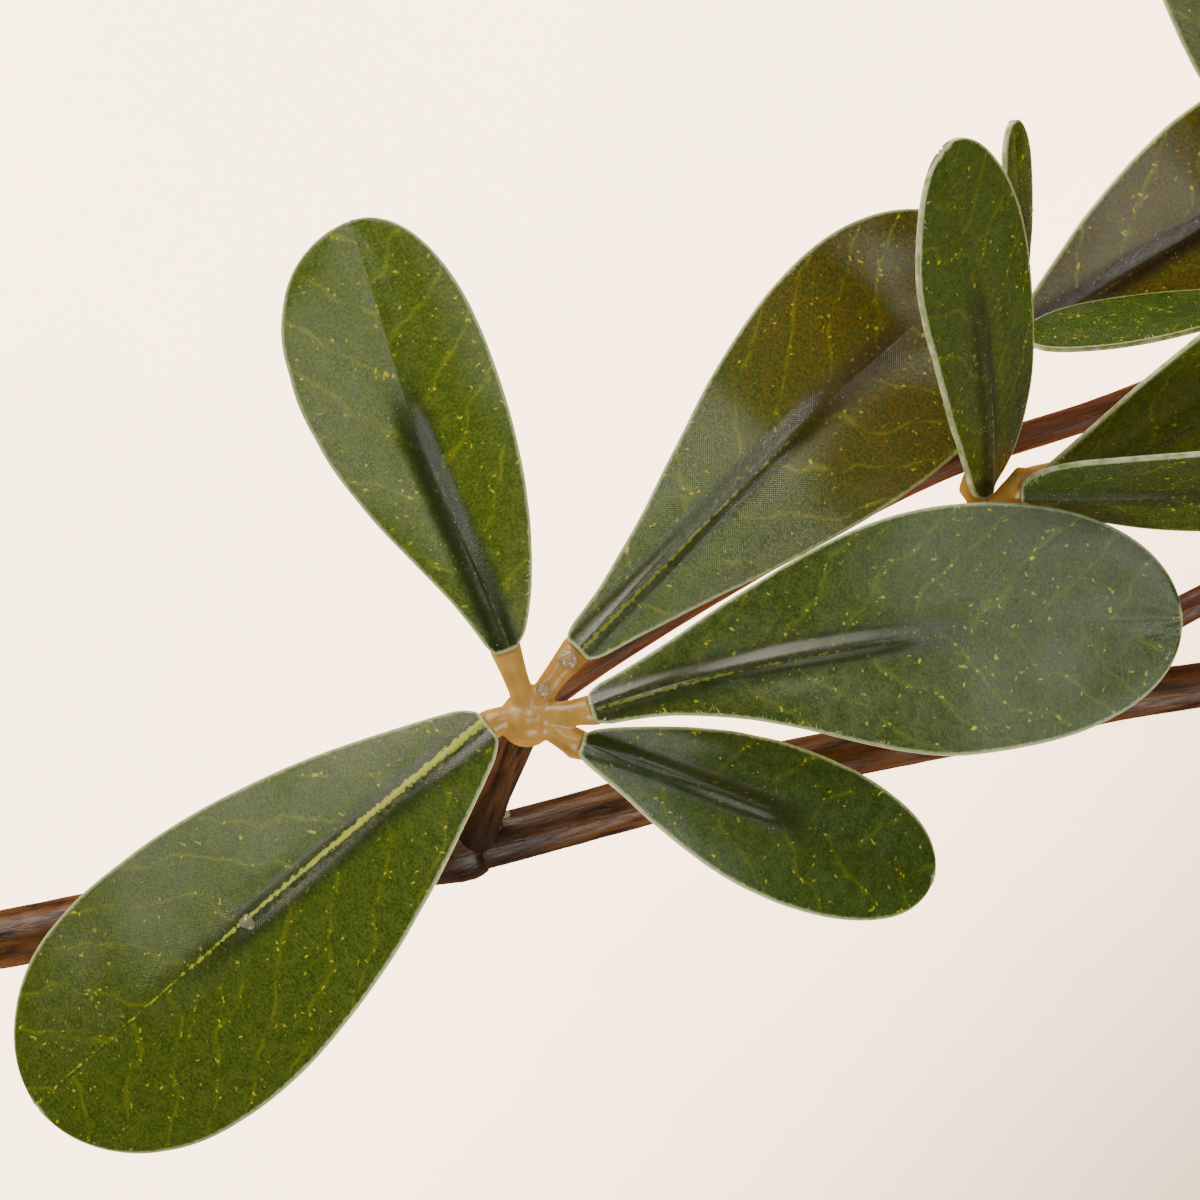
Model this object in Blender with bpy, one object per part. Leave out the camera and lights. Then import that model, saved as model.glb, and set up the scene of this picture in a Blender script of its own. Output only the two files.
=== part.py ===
# An artificial leafy branch, laid down on a table: plastic stems over wire cores,
# moulded plastic stars on their tips, and five printed cloth leaves on each star.
# Sizes are in millimetres until a mesh is made, which is in metres. +Z is up.

import math

import bmesh
import bpy
from mathutils import Vector

MM = 0.001
SHARP_ANGLE = 50.0

# Fits between pieces
GAP = 0.3

# Leaf blades
BLADE_THICKNESS = 0.65
BLADE_ROWS = 12
BLADE_COLUMNS = (-1.0, -0.52, 0.0, 0.52, 1.0)
BASE_WIDTH = 0.16
BASE_ROUND = 0.035
BASE_CORNER = 0.55
TIP_POWERS = (2.25, 2.05)
LAST_ROW_AT = 0.994
ROW_CROWDING = 1.35
SPINE_STEPS = 48

# Stars: a hub with five arms, each running on under its leaf as a rib. The hub's profile pairs
# heights along its stem with radii.
HUB_PROFILE = [(-3.4, 2.4), (-2.9, 2.7), (0.4, 2.7), (1.3, 2.0), (1.9, 0.9)]
HUB_SIDES = 10
ARM_RADIUS = 1.4
ARM_BELOW_HUB = 0.4
ARM_ARCH = 0.12
ARM_SIDES = 6
RIB_RADIUS_BASE = 1.15
RIB_RADIUS_END = 0.6
RIB_END_AT = 0.58
RIB_ROWS = 5

# Stems, by radius
LOWER_STEM_RADIUS = 3.1
LOWER_STEM_SHOULDER = 3.45
UPPER_STEM_PLUG = 2.1
UPPER_STEM_RADIUS = 2.75
UPPER_STEM_TIP = 1.5
UPPER_STEM_TAPER = 1.4
BRANCH_FOOT = 1.9
BRANCH_RADIUS = 1.55
TWIG_FOOT = 2.25
TWIG_RADIUS = 1.75
PEG_RADIUS = 1.5
WIRE_RADIUS = 0.8
BRANCH_WIRE_RADIUS = 0.45
STEM_SIDES = 10
WIRE_SIDES = 6

# Stems, by length
RING_SPACING = 9.0
RING_CLEARS_END = 1.0
SHOULDER_LENGTH = 9.0
SHOULDER_LIP = 1.2
SOCKET_DEPTH = 5.0
BRANCH_TAPER = 20.0
TWIG_TAPER = 12.0
PEG_DEPTH = 3.2
NECK_LENGTH = 0.9
PEG_BELOW_HUB = 0.6
STAR_CLEARS = 15.0
WIRE_STANDS_OUT = 1.5
WIRE_STOPS_SHORT = 14.0
SADDLE_GAP = 0.33

COLOURS = {
    "leaf": ((0.042, 0.098, 0.018), 0.45, 0.0),
    "star": ((0.62, 0.47, 0.22), 0.4, 0.0),
    "stem": ((0.085, 0.036, 0.016), 0.35, 0.0),
    "wire": ((0.45, 0.45, 0.46), 0.35, 1.0),
}

# Lines that the stems follow, from root to tip. The main stem's two lengths meet at its node.
MAIN_STEM = [
    (-126, -47.5, 2.9),
    (-95, -42.5, 4.8),
    (-63.5, -36.2, 7.6),
    (-36, -30.6, 10.0),
    (-13.4, -26.0, 12.0),
    (11, -19.4, 13.3),
    (26.5, -16.0, 14.2),
    (42, -12.9, 15.6),
    (59.5, -9.4, 17.2),
    (90, -6.0, 19.4),
    (119, -10.0, 20.6),
    (141.5, -17.4, 24.6),
    (150.6, -20.3, 34.8),
]
NODE = 4
BACK_BRANCH = [
    (-27.0, -29.0, 10.6),
    (-14.5, -18.6, 8.6),
    (-3.2, -8.6, 8.2),
    (17.2, 4.2, 8.2),
    (36.2, 14.2, 8.0),
    (53.2, 20.0, 7.0),
    (69, 26.0, 6.0),
    (83.5, 30.7, 9.4),
    (90.6, 32.8, 18.4),
]
RIGHT_BRANCH = [
    (42, -12.9, 15.6),
    (51, -7.4, 18.4),
    (61.3, -0.6, 21.6),
    (79, 7.0, 24.0),
    (99, 11.0, 27.4),
    (114, 12.4, 34.6),
    (119.9, 12.6, 44.4),
]


def pair(value):
    return value if isinstance(value, tuple) else (value, value)


def leaf(heading, pitch, length, width, roll=0.0, droop=16.0, sweep=0.0, bow=0.0, fold=6.0,
         widest=0.68, slim=1.0, left=0.5, seat=None, reach=5.4, rise=0.4):
    # heading, pitch and roll turn the blade; droop, sweep and bow bend it from base to tip; fold lifts
    # both halves off the midrib; widest and slim shape its outline, alike or left and right, and left is
    # the left half's share of its width; seat, reach and rise place its base round the hub.
    return {
        "heading": heading, "pitch": pitch, "length": length, "width": width, "roll": roll, "droop": droop,
        "sweep": sweep, "bow": bow, "fold": fold, "widest": pair(widest), "slim": pair(slim), "left": left,
        "seat": heading if seat is None else seat, "reach": reach, "rise": rise,
    }


# Each whorl stands on a twig, from its foot to its hub, or on the tip of a stem
WHORLS = {
    "front": {
        "hub": (-7.0, -11.2, 37.0),
        "foot": (-13.6, -25.9, 12.0),
        "leaves": [
            leaf(109, 10, 45.6, 19.8, roll=2, droop=14, sweep=1, bow=16, fold=7, widest=(0.7, 0.57),
                 slim=(1.3, 0.85), left=0.52, seat=111, reach=6.6, rise=1.6),
            leaf(45.5, -6, 61.2, 25.4, roll=2, droop=14, sweep=-5, bow=4, fold=9, widest=(0.72, 0.7),
                 slim=(1.55, 1.15), seat=53, reach=7.8, rise=0.4),
            leaf(17.8, 8, 60, 25, roll=-9, droop=17, sweep=-16, fold=5, widest=0.62, slim=(1.4, 1.8),
                 seat=3, reach=6.2, rise=1.2),
            leaf(-19, -16, 42, 15.9, roll=-12, droop=10, sweep=-3, fold=9, widest=(0.6, 0.57),
                 slim=(0.9, 1.1), left=0.45, seat=-32, reach=5.9, rise=-0.4),
            leaf(219, -3, 61.8, 28.6, roll=9, droop=13, sweep=1, fold=-9, widest=(0.66, 0.7),
                 slim=(1.0, 0.95), left=0.52, seat=196, reach=4.4, rise=0.6),
        ],
    },
    "right": {
        "hub": (39.2, 6.0, 33.0),
        "foot": (35.2, -14.4, 15.0),
        "leaves": [
            leaf(94.5, 48, 44.5, 18.8, roll=55, droop=14, fold=3, widest=(0.7, 0.5), slim=(0.9, 0.6),
                 left=0.46, seat=94, reach=4.9, rise=1.5),
            leaf(-1, 8, 56, 25, roll=70, droop=14, sweep=-4, fold=4, slim=(0.5, 0.7), left=0.55,
                 seat=58, reach=5.4, rise=6.0),
            leaf(22, 16, 54, 23, roll=46, droop=14, sweep=17, fold=8, slim=(0.9, 1.1),
                 seat=46, reach=7.2, rise=-0.6),
            leaf(204, -26, 28, 12.5, roll=4, droop=6, seat=222, reach=5.0, rise=-0.8),
            leaf(-30, -64, 30, 14, droop=4, seat=-20, reach=5.8, rise=-1.6),
        ],
    },
    "back": {
        "hub": (40.6, 25.0, 13.0),
        "foot": (40.2, 15.6, 8.4),
        "leaves": [
            leaf(33, -4, 48, 23.5, roll=14, droop=6, sweep=-8, fold=-10, seat=35, reach=5.6),
            leaf(87.5, 22, 22.5, 6.5, roll=60, droop=10, sweep=4, seat=50, reach=5.0, rise=0.6),
            leaf(176, 4, 20, 12, droop=10, seat=170, reach=5.0),
            leaf(212, 2, 30, 13, roll=-6, droop=8, seat=216, reach=5.2, rise=0.6),
        ],
    },
    "back_tip": {
        "leaves": [
            leaf(130, 6, 58, 24.5, roll=8, droop=14, sweep=-30, fold=7, widest=0.5),
            leaf(186, 2, 42, 15, roll=70, droop=4, sweep=3, fold=3, widest=0.75, slim=1.4,
                 seat=180, rise=3.0),
            leaf(64, -13.8, 60, 26, roll=-4, droop=10),
            leaf(14, -4, 54, 23, roll=6, droop=10, fold=7),
            leaf(-34, -6, 42, 20, roll=-8, droop=10, fold=7),
        ],
    },
    "right_tip": {
        "leaves": [
            leaf(96, 10, 50, 22, roll=10, droop=18, fold=7),
            leaf(30, 2, 58, 26, roll=-6, droop=18),
            leaf(-34, 4, 55, 24, roll=8, droop=18, fold=7),
            leaf(-104, 8, 46, 20, roll=-8, droop=16, fold=7),
            leaf(176, 30, 42, 19, roll=6, droop=16),
        ],
    },
    "main_tip": {
        "leaves": [
            leaf(66, -8, 52, 22, roll=8, droop=16, fold=7),
            leaf(4, -6, 58, 26, roll=-6, droop=16),
            leaf(-50, -27, 60, 26, roll=4, droop=20, fold=7),
            leaf(-112, -6, 54, 23, roll=-4, droop=16, fold=7),
            leaf(-176, 10, 44, 19, roll=6, droop=16),
        ],
    },
}


def material(name):
    colour, roughness, metallic = COLOURS[name]
    made = bpy.data.materials.new(name)
    made.use_nodes = True
    shader = made.node_tree.nodes["Principled BSDF"]
    shader.inputs["Base Color"].default_value = (*colour, 1.0)
    shader.inputs["Roughness"].default_value = roughness
    shader.inputs["Metallic"].default_value = metallic
    return made


def add_object(name, points, faces, material_of=None):
    mesh = bpy.data.meshes.new(name)
    mesh.from_pydata([Vector(p) * MM for p in points], [], faces)
    body = bmesh.new()
    body.from_mesh(mesh)
    bmesh.ops.recalc_face_normals(body, faces=body.faces)
    body.to_mesh(mesh)
    body.free()
    made = bpy.data.objects.new(name, mesh)
    bpy.context.scene.collection.objects.link(made)
    if material_of:
        mesh.materials.append(material_of)
    shade(mesh)
    return made


def shade(mesh):
    mesh.shade_smooth()
    mesh.set_sharp_from_angle(angle=math.radians(SHARP_ANGLE))


def spline(a, b, c, d, t):
    # A smooth curve's point between b and c, with a before them and d after.
    square = 2 * a - 5 * b + 4 * c - d
    cube = 3 * b - a - 3 * c + d
    return 0.5 * (2 * b + (c - a) * t + square * t * t + cube * t ** 3)


class Route:
    # A smooth line through some points, read by its length from the first of them.

    SPAN_STEPS = 12

    def __init__(self, corners):
        p = [Vector(c) for c in corners]
        p = [2 * p[0] - p[1], *p, 2 * p[-1] - p[-2]]
        self.points = []
        for a, b, c, d in zip(p, p[1:], p[2:], p[3:]):
            self.points += [spline(a, b, c, d, k / self.SPAN_STEPS) for k in range(self.SPAN_STEPS)]
        self.points.append(p[-2])
        self.lengths = [0.0]
        for a, b in zip(self.points, self.points[1:]):
            self.lengths.append(self.lengths[-1] + (b - a).length)
        self.tangents = [
            (self.points[min(i + 1, len(self.points) - 1)] - self.points[max(i - 1, 0)]).normalized()
            for i in range(len(self.points))
        ]
        self.sides = [self.tangents[0].cross(Vector((0, 0, 1))).normalized()]
        for tangent in self.tangents[1:]:
            side = self.sides[-1]
            self.sides.append((side - tangent * side.dot(tangent)).normalized())

    @property
    def length(self):
        return self.lengths[-1]

    def at(self, s):
        i = max(0, min(len(self.points) - 2, sum(1 for x in self.lengths[1:] if x < s)))
        share = (s - self.lengths[i]) / (self.lengths[i + 1] - self.lengths[i])
        point = self.points[i].lerp(self.points[i + 1], share)
        tangent, side = self.tangents[i], self.sides[i]
        if 0.0 <= share <= 1.0:
            tangent = tangent.lerp(self.tangents[i + 1], share).normalized()
            side = side.lerp(self.sides[i + 1], share)
            side = (side - tangent * side.dot(tangent)).normalized()
        return point, side, tangent.cross(side)


def ring(centre, side, up, radius, sides):
    angles = [2 * math.pi * k / sides for k in range(sides)]
    return [centre + radius * (math.cos(a) * side + math.sin(a) * up) for a in angles]


def joined_rings(rings, closed):
    # Skins rings of equal count. A closed set ends where it began; an open one gets flat ends.
    sides = len(rings[0])
    points = [p for one in rings for p in one]
    faces = []
    pairs = list(zip(range(len(rings)), range(1, len(rings))))
    if closed:
        pairs.append((len(rings) - 1, 0))
    for a, b in pairs:
        for k in range(sides):
            n = (k + 1) % sides
            faces.append((a * sides + k, a * sides + n, b * sides + n, b * sides + k))
    if not closed:
        faces.append(tuple(range(sides)))
        faces.append(tuple(range((len(rings) - 1) * sides, len(rings) * sides)))
    return points, faces


def turned(name, route, profile, sides, material_of=None, closed=False):
    # A body of round section along a route: profile pairs a length along it with a radius.
    rings = [ring(*route.at(s), radius, sides) for s, radius in profile]
    points, faces = joined_rings(rings, closed)
    return add_object(name, points, faces, material_of)


def spread(start, end, spacing):
    # Lengths from start to end, about one spacing apart.
    count = max(1, round(abs(end - start) / spacing))
    return [start + (end - start) * k / count for k in range(count + 1)]


def cut(target, cutter):
    modifier = target.modifiers.new("cut", "BOOLEAN")
    modifier.operation = "DIFFERENCE"
    modifier.object = cutter
    apply_modifiers(target)
    bpy.data.objects.remove(cutter)


def apply_modifiers(target):
    bpy.context.view_layer.update()
    graph = bpy.context.evaluated_depsgraph_get()
    finished = bpy.data.meshes.new_from_object(target.evaluated_get(graph))
    target.modifiers.clear()
    target.data = finished
    shade(finished)


def half_width(t, u, one):
    # How wide the blade's half on u's side is at t, which runs from 0 at the base to 1 at the tip.
    side = 0 if u > 0 else 1
    widest, slim = one["widest"][side], one["slim"][side]
    if t <= widest:
        share = BASE_WIDTH + (1 - BASE_WIDTH) * math.sin(math.pi / 2 * (t / widest) ** slim)
    else:
        share = (1 - ((t - widest) / (1 - widest)) ** TIP_POWERS[0]) ** (1 / TIP_POWERS[1])
    if t < BASE_ROUND:
        share *= BASE_CORNER + (1 - BASE_CORNER) * math.sqrt(1 - (1 - t / BASE_ROUND) ** 2)
    return share * one["width"] * (one["left"] if side == 0 else 1 - one["left"])


def heading_vector(degrees):
    return Vector((math.cos(math.radians(degrees)), math.sin(math.radians(degrees)), 0.0))


class Blade:
    # The curved surface of one leaf: a bent spine with a folded cross-section.

    def __init__(self, hub, one):
        self.one = one
        pitch, roll = math.radians(one["pitch"]), math.radians(one["roll"])
        up = Vector((0, 0, 1))
        along = heading_vector(one["heading"]) * math.cos(pitch) + up * math.sin(pitch)
        level = heading_vector(one["heading"] + 90)
        side = level * math.cos(roll) + along.cross(level) * math.sin(roll)
        normal = along.cross(side)
        point = hub + heading_vector(one["seat"]) * one["reach"] + up * one["rise"]
        step = 1.0 / SPINE_STEPS
        droop = math.radians(one["droop"]) * step
        self.stations = []
        for k in range(SPINE_STEPS + 1):
            self.stations.append((point.copy(), along.copy(), side.copy(), normal.copy()))
            bow = one["bow"] * math.pi / 2 * math.cos(2 * math.pi * k * step)
            sweep = math.radians(one["sweep"] + bow) * step
            middle = (along + 0.5 * (side * sweep - normal * droop)).normalized()
            point = point + middle * one["length"] * step
            along = (along + side * sweep - normal * droop).normalized()
            side = (side - along * side.dot(along)).normalized()
            normal = along.cross(side)

    def frame(self, t):
        place = min(max(t, 0.0), 1.0) * SPINE_STEPS
        i = min(int(place), SPINE_STEPS - 1)
        share = place - i
        return [a.lerp(b, share) for a, b in zip(self.stations[i], self.stations[i + 1])]

    def point(self, t, u, lift=0.0):
        # u runs across the blade from the right edge, -1, to the left edge, 1.
        point, _, side, normal = self.frame(t)
        half = half_width(t, u, self.one)
        rise = math.tan(math.radians(self.one["fold"])) * half * abs(u)
        return point + side * half * u + normal * (rise + lift)


def row_places():
    # Rows crowd towards the round tip, and the last one stops where it still has some width.
    places = [1 - (1 - k / (BLADE_ROWS - 1)) ** ROW_CROWDING for k in range(BLADE_ROWS)]
    return [min(t, LAST_ROW_AT) for t in places]


def add_blade(name, blade, material_of):
    # Both faces are split into triangles alike, so that they stay one thickness apart.
    rows = row_places()
    columns = len(BLADE_COLUMNS)
    points = []
    for lift in (BLADE_THICKNESS / 2, -BLADE_THICKNESS / 2):
        points += [blade.point(t, u, lift) for t in rows for u in BLADE_COLUMNS]
    under = len(rows) * columns
    faces = []
    for i in range(len(rows) - 1):
        for j in range(columns - 1):
            a, b = i * columns + j, i * columns + j + 1
            c, d = b + columns, a + columns
            split = [(a, b, c), (a, c, d)] if j < columns // 2 else [(a, b, d), (b, c, d)]
            for face in split:
                faces.append(face)
                faces.append(tuple(under + k for k in reversed(face)))
    last = (len(rows) - 1) * columns
    left = [i * columns for i in reversed(range(1, len(rows) - 1))]
    right = [i * columns + columns - 1 for i in range(1, len(rows))]
    rim = [*range(columns), *right, *reversed(range(last, last + columns - 1)), *left]
    for a, b in zip(rim, rim[1:] + rim[:1]):
        faces.append((a, under + a, under + b))
        faces.append((a, under + b, b))
    return add_object(name, points, faces, material_of)


def arm_stations(hub, axis, blade):
    # Centres and radii along one arm, from inside the hub to the end of its rib under the leaf.
    def under(t, radius):
        return blade.point(t, 0.0, -BLADE_THICKNESS / 2 - GAP - radius)

    start = hub - axis * ARM_BELOW_HUB
    seat = under(0.0, RIB_RADIUS_BASE)
    outward = seat - start
    arch = (outward - blade.frame(0.0)[1] * outward.length) * ARM_ARCH
    stations = [(start, ARM_RADIUS), (start + outward / 2 + arch, ARM_RADIUS)]
    for k in range(RIB_ROWS + 1):
        share = k / RIB_ROWS
        radius = RIB_RADIUS_BASE + (RIB_RADIUS_END - RIB_RADIUS_BASE) * share
        stations.append((under(RIB_END_AT * share, radius), radius))
    end, radius = stations[-1]
    stations.append((end + blade.frame(RIB_END_AT)[1] * radius, radius / 2))
    return stations


def add_tube(name, stations, sides, material_of=None):
    # A round rod through stations of (centre, radius).
    centres = [s[0] for s in stations]
    rings = []
    side = None
    for i, (centre, radius) in enumerate(stations):
        tangent = (centres[min(i + 1, len(centres) - 1)] - centres[max(i - 1, 0)]).normalized()
        side = tangent.orthogonal() if side is None else side
        side = (side - tangent * side.dot(tangent)).normalized()
        rings.append(ring(centre, side, tangent.cross(side), radius, sides))
    points, faces = joined_rings(rings, False)
    return add_object(name, points, faces, material_of)


def add_hub(name, hub, axis):
    # A short round drum with a domed top, square to the stem that holds it.
    foot = HUB_PROFILE[0][0]
    route = Route([hub + axis * foot, hub - axis * foot])
    profile = [(height - foot, radius) for height, radius in HUB_PROFILE]
    return turned(name, route, profile, HUB_SIDES)


def add_star(name, hub, blades, carrier, material_of):
    # The hub and its arms are one moulding, with a blind socket underneath for the stem's peg.
    axis = carrier.route.tangents[-1]
    star = add_hub(name, hub, axis)
    arms = bpy.data.collections.new(name + "_arms")
    for k, blade in enumerate(blades):
        arm = add_tube(f"{name}_arm_{k + 1}", arm_stations(hub, axis, blade), ARM_SIDES)
        arms.objects.link(arm)
    modifier = star.modifiers.new("arms", "BOOLEAN")
    modifier.operation = "UNION"
    modifier.operand_type = "COLLECTION"
    modifier.collection = arms
    apply_modifiers(star)
    for arm in list(arms.objects):
        bpy.data.objects.remove(arm)
    bpy.data.collections.remove(arms)
    end = carrier.length
    socket = carrier.skin(end - STAR_CLEARS, neck(end), GAP)
    socket += [(end + s, PEG_RADIUS + GAP) for s in (-PEG_DEPTH, -PEG_DEPTH / 2, GAP)]
    cut(star, turned("socket", carrier.route, socket, STEM_SIDES))
    star.data.materials.clear()
    star.data.materials.append(material_of)


class Stem:
    # A stem's line with its outer radius, and the stations that its skin, bore and wire share.

    def __init__(self, corners, radius):
        self.route = Route(corners)
        self.radius = radius
        self.length = self.route.length
        self.places = spread(0.0, self.length, RING_SPACING)

    def stations(self, start, end):
        inside = [s for s in self.places if start + RING_CLEARS_END < s < end - RING_CLEARS_END]
        return [start, *inside, end]

    def skin(self, start, end, extra=0.0):
        return [(s, self.radius(s) + extra) for s in self.stations(start, end)]

    def core(self, start, end, radius):
        return [(s, radius) for s in self.stations(start, end)]

    def hub(self):
        # The middle of the star that the stem's peg holds up.
        return self.route.points[-1] + self.route.tangents[-1] * PEG_BELOW_HUB


def saddle_on(target, carriers):
    # Cuts a stem's foot to fit round the stems that it stands on.
    for carrier, start, end in carriers:
        profile = carrier.skin(start, end, SADDLE_GAP)
        cut(target, turned("saddle", carrier.route, profile, STEM_SIDES))
    keep_largest(target)


def keep_largest(target):
    # A foot that ran right through its carrier leaves a scrap on the far side.
    body = bmesh.new()
    body.from_mesh(target.data)
    left = set(body.verts)
    shells = []
    while left:
        shell, front = set(), [left.pop()]
        while front:
            vertex = front.pop()
            shell.add(vertex)
            for edge in vertex.link_edges:
                other = edge.other_vert(vertex)
                if other in left:
                    left.remove(other)
                    front.append(other)
        shells.append(shell)
    shells.sort(key=len, reverse=True)
    bmesh.ops.delete(body, geom=[v for shell in shells[1:] for v in shell], context="VERTS")
    body.to_mesh(target.data)
    body.free()


def neck(length):
    # Where a stem narrows to the peg at its tip, which the star's socket takes.
    return length - PEG_DEPTH - NECK_LENGTH - GAP


def peg(length):
    return [(length - PEG_DEPTH - GAP, PEG_RADIUS), (length, PEG_RADIUS)]


def add_main_stem(stem, wire):
    # Two moulded lengths over one wire: the upper one plugs into the lower one's shoulder.
    line = Route(MAIN_STEM)
    node = line.lengths[NODE * Route.SPAN_STEPS]
    upper_length = line.length - node

    def radius(s):
        if s < node:
            swell = max(0.0, 1.0 - (node - s) / SHOULDER_LENGTH)
            return LOWER_STEM_RADIUS + (LOWER_STEM_SHOULDER - LOWER_STEM_RADIUS) * swell
        taper = ((s - node) / upper_length) ** UPPER_STEM_TAPER
        return UPPER_STEM_RADIUS + (UPPER_STEM_TIP - UPPER_STEM_RADIUS) * taper

    main_stem = Stem(MAIN_STEM, radius)
    bore = WIRE_RADIUS + GAP
    socket = UPPER_STEM_PLUG + GAP
    floor = node - SOCKET_DEPTH
    lip = node + SHOULDER_LIP
    outer = [*main_stem.skin(0.0, node), (lip, UPPER_STEM_RADIUS)]
    inner = [(lip, socket), (floor, socket), *reversed(main_stem.core(0.0, floor, bore))]
    turned("stem_lower", main_stem.route, outer + inner, STEM_SIDES, stem, closed=True)

    plug = floor + GAP
    tip = main_stem.length
    wire_end = tip - WIRE_STOPS_SHORT
    outer = [(plug, UPPER_STEM_PLUG), (lip, UPPER_STEM_PLUG), (lip + SHOULDER_LIP, UPPER_STEM_RADIUS)]
    outer += [*main_stem.skin(lip + SOCKET_DEPTH, neck(tip)), *peg(tip)]
    inner = reversed(main_stem.core(plug, wire_end, bore))
    turned("stem_upper", main_stem.route, [*inner, *outer], STEM_SIDES, stem)

    core = main_stem.core(0.0, wire_end - GAP, WIRE_RADIUS)
    turned("stem_wire", main_stem.route, [(-WIRE_STANDS_OUT, WIRE_RADIUS), *core], WIRE_SIDES, wire)
    lower_part = (main_stem, 0.0, lip)
    upper_part = (main_stem, lip - GAP, tip)
    return main_stem, lower_part, upper_part


def add_branch(name, corners, carriers, stem, wire):
    # A thinner stem that starts on another, with a wire of its own.
    def radius(s):
        return BRANCH_FOOT + (BRANCH_RADIUS - BRANCH_FOOT) * min(1.0, s / BRANCH_TAPER)

    branch = Stem(corners, radius)
    tip = branch.length
    wire_end = tip - WIRE_STOPS_SHORT
    inner = reversed(branch.core(0.0, wire_end, BRANCH_WIRE_RADIUS + GAP))
    outer = [*branch.skin(0.0, neck(tip)), *peg(tip)]
    saddle_on(turned(name, branch.route, [*inner, *outer], STEM_SIDES, stem), carriers)
    core = branch.core(0.0, wire_end - GAP, BRANCH_WIRE_RADIUS)
    saddle_on(turned(name + "_wire", branch.route, core, WIRE_SIDES, wire), carriers)
    return branch


def add_twig(name, foot, hub, carriers, material_of):
    # A short stem that stands on a thicker one and holds up a star.
    def radius(s):
        return TWIG_FOOT + (TWIG_RADIUS - TWIG_FOOT) * min(1.0, s / TWIG_TAPER)

    end = hub - (hub - foot).normalized() * PEG_BELOW_HUB
    twig = Stem([foot, foot.lerp(end, 0.5), end], radius)
    profile = [*twig.skin(0.0, neck(twig.length)), *peg(twig.length)]
    saddle_on(turned(name, twig.route, profile, STEM_SIDES, material_of), carriers)
    return twig


def stand_on_origin():
    # Puts the middle of the object's box over the origin, with its lowest point on the table.
    shown = [o for o in bpy.context.scene.objects if o.type == "MESH"]
    corners = [v.co for o in shown for v in o.data.vertices]
    low = Vector([min(c[k] for c in corners) for k in range(3)])
    high = Vector([max(c[k] for c in corners) for k in range(3)])
    middle = (low + high) / 2
    shift = Vector((-middle.x, -middle.y, -low.z))
    for one in shown:
        for vertex in one.data.vertices:
            vertex.co += shift


def main():
    for one in list(bpy.data.objects):
        bpy.data.objects.remove(one)
    cloth, cream, brown, steel = (material(name) for name in ("leaf", "star", "stem", "wire"))
    main_stem, lower_part, upper_part = add_main_stem(brown, steel)
    back = add_branch("branch_back", BACK_BRANCH, [lower_part], brown, steel)
    right = add_branch("branch_right", RIGHT_BRANCH, [upper_part], brown, steel)
    back_part = (back, 0.0, neck(back.length))
    tips = {"back_tip": back, "right_tip": right, "main_tip": main_stem}
    feet = {"front": [lower_part, upper_part], "right": [upper_part], "back": [back_part]}
    for name, whorl in WHORLS.items():
        if name in feet:
            foot, hub = Vector(whorl["foot"]), Vector(whorl["hub"])
            carrier = add_twig(f"twig_{name}", foot, hub, feet[name], brown)
        else:
            carrier = tips[name]
            hub = carrier.hub()
        blades = [Blade(hub, one) for one in whorl["leaves"]]
        add_star(f"star_{name}", hub, blades, carrier, cream)
        for k, blade in enumerate(blades):
            add_blade(f"leaf_{name}_{k + 1}", blade, cloth)
    stand_on_origin()


main()
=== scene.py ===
# An artificial leafy branch: printed cloth leaves on moulded plastic stars, and plastic stems over wire.
# Lengths are in millimetres until a mesh is made, which is in metres.

import math

import bmesh
import bpy
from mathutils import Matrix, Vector, noise


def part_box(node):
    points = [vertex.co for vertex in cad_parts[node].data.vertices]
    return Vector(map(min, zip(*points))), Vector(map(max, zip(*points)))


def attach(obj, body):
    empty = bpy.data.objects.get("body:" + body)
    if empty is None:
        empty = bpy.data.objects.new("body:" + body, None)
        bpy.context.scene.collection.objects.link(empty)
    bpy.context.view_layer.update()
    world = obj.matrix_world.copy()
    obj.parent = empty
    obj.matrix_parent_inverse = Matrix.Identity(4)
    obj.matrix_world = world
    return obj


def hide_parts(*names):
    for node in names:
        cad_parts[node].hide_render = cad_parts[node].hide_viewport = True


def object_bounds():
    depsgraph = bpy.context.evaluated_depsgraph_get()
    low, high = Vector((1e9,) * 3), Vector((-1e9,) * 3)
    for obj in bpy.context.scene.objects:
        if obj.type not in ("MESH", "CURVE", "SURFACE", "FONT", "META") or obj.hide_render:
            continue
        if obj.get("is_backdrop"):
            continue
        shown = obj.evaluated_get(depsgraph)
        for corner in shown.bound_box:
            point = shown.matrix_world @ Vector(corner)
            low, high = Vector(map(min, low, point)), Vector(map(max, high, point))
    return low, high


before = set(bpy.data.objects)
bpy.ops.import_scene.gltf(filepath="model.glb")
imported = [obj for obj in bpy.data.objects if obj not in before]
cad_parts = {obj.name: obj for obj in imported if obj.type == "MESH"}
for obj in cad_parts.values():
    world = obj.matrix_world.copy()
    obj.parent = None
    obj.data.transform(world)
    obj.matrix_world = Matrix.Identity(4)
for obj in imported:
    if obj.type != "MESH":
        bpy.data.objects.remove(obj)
cadLow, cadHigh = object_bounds()
mm = 0.001


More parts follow.
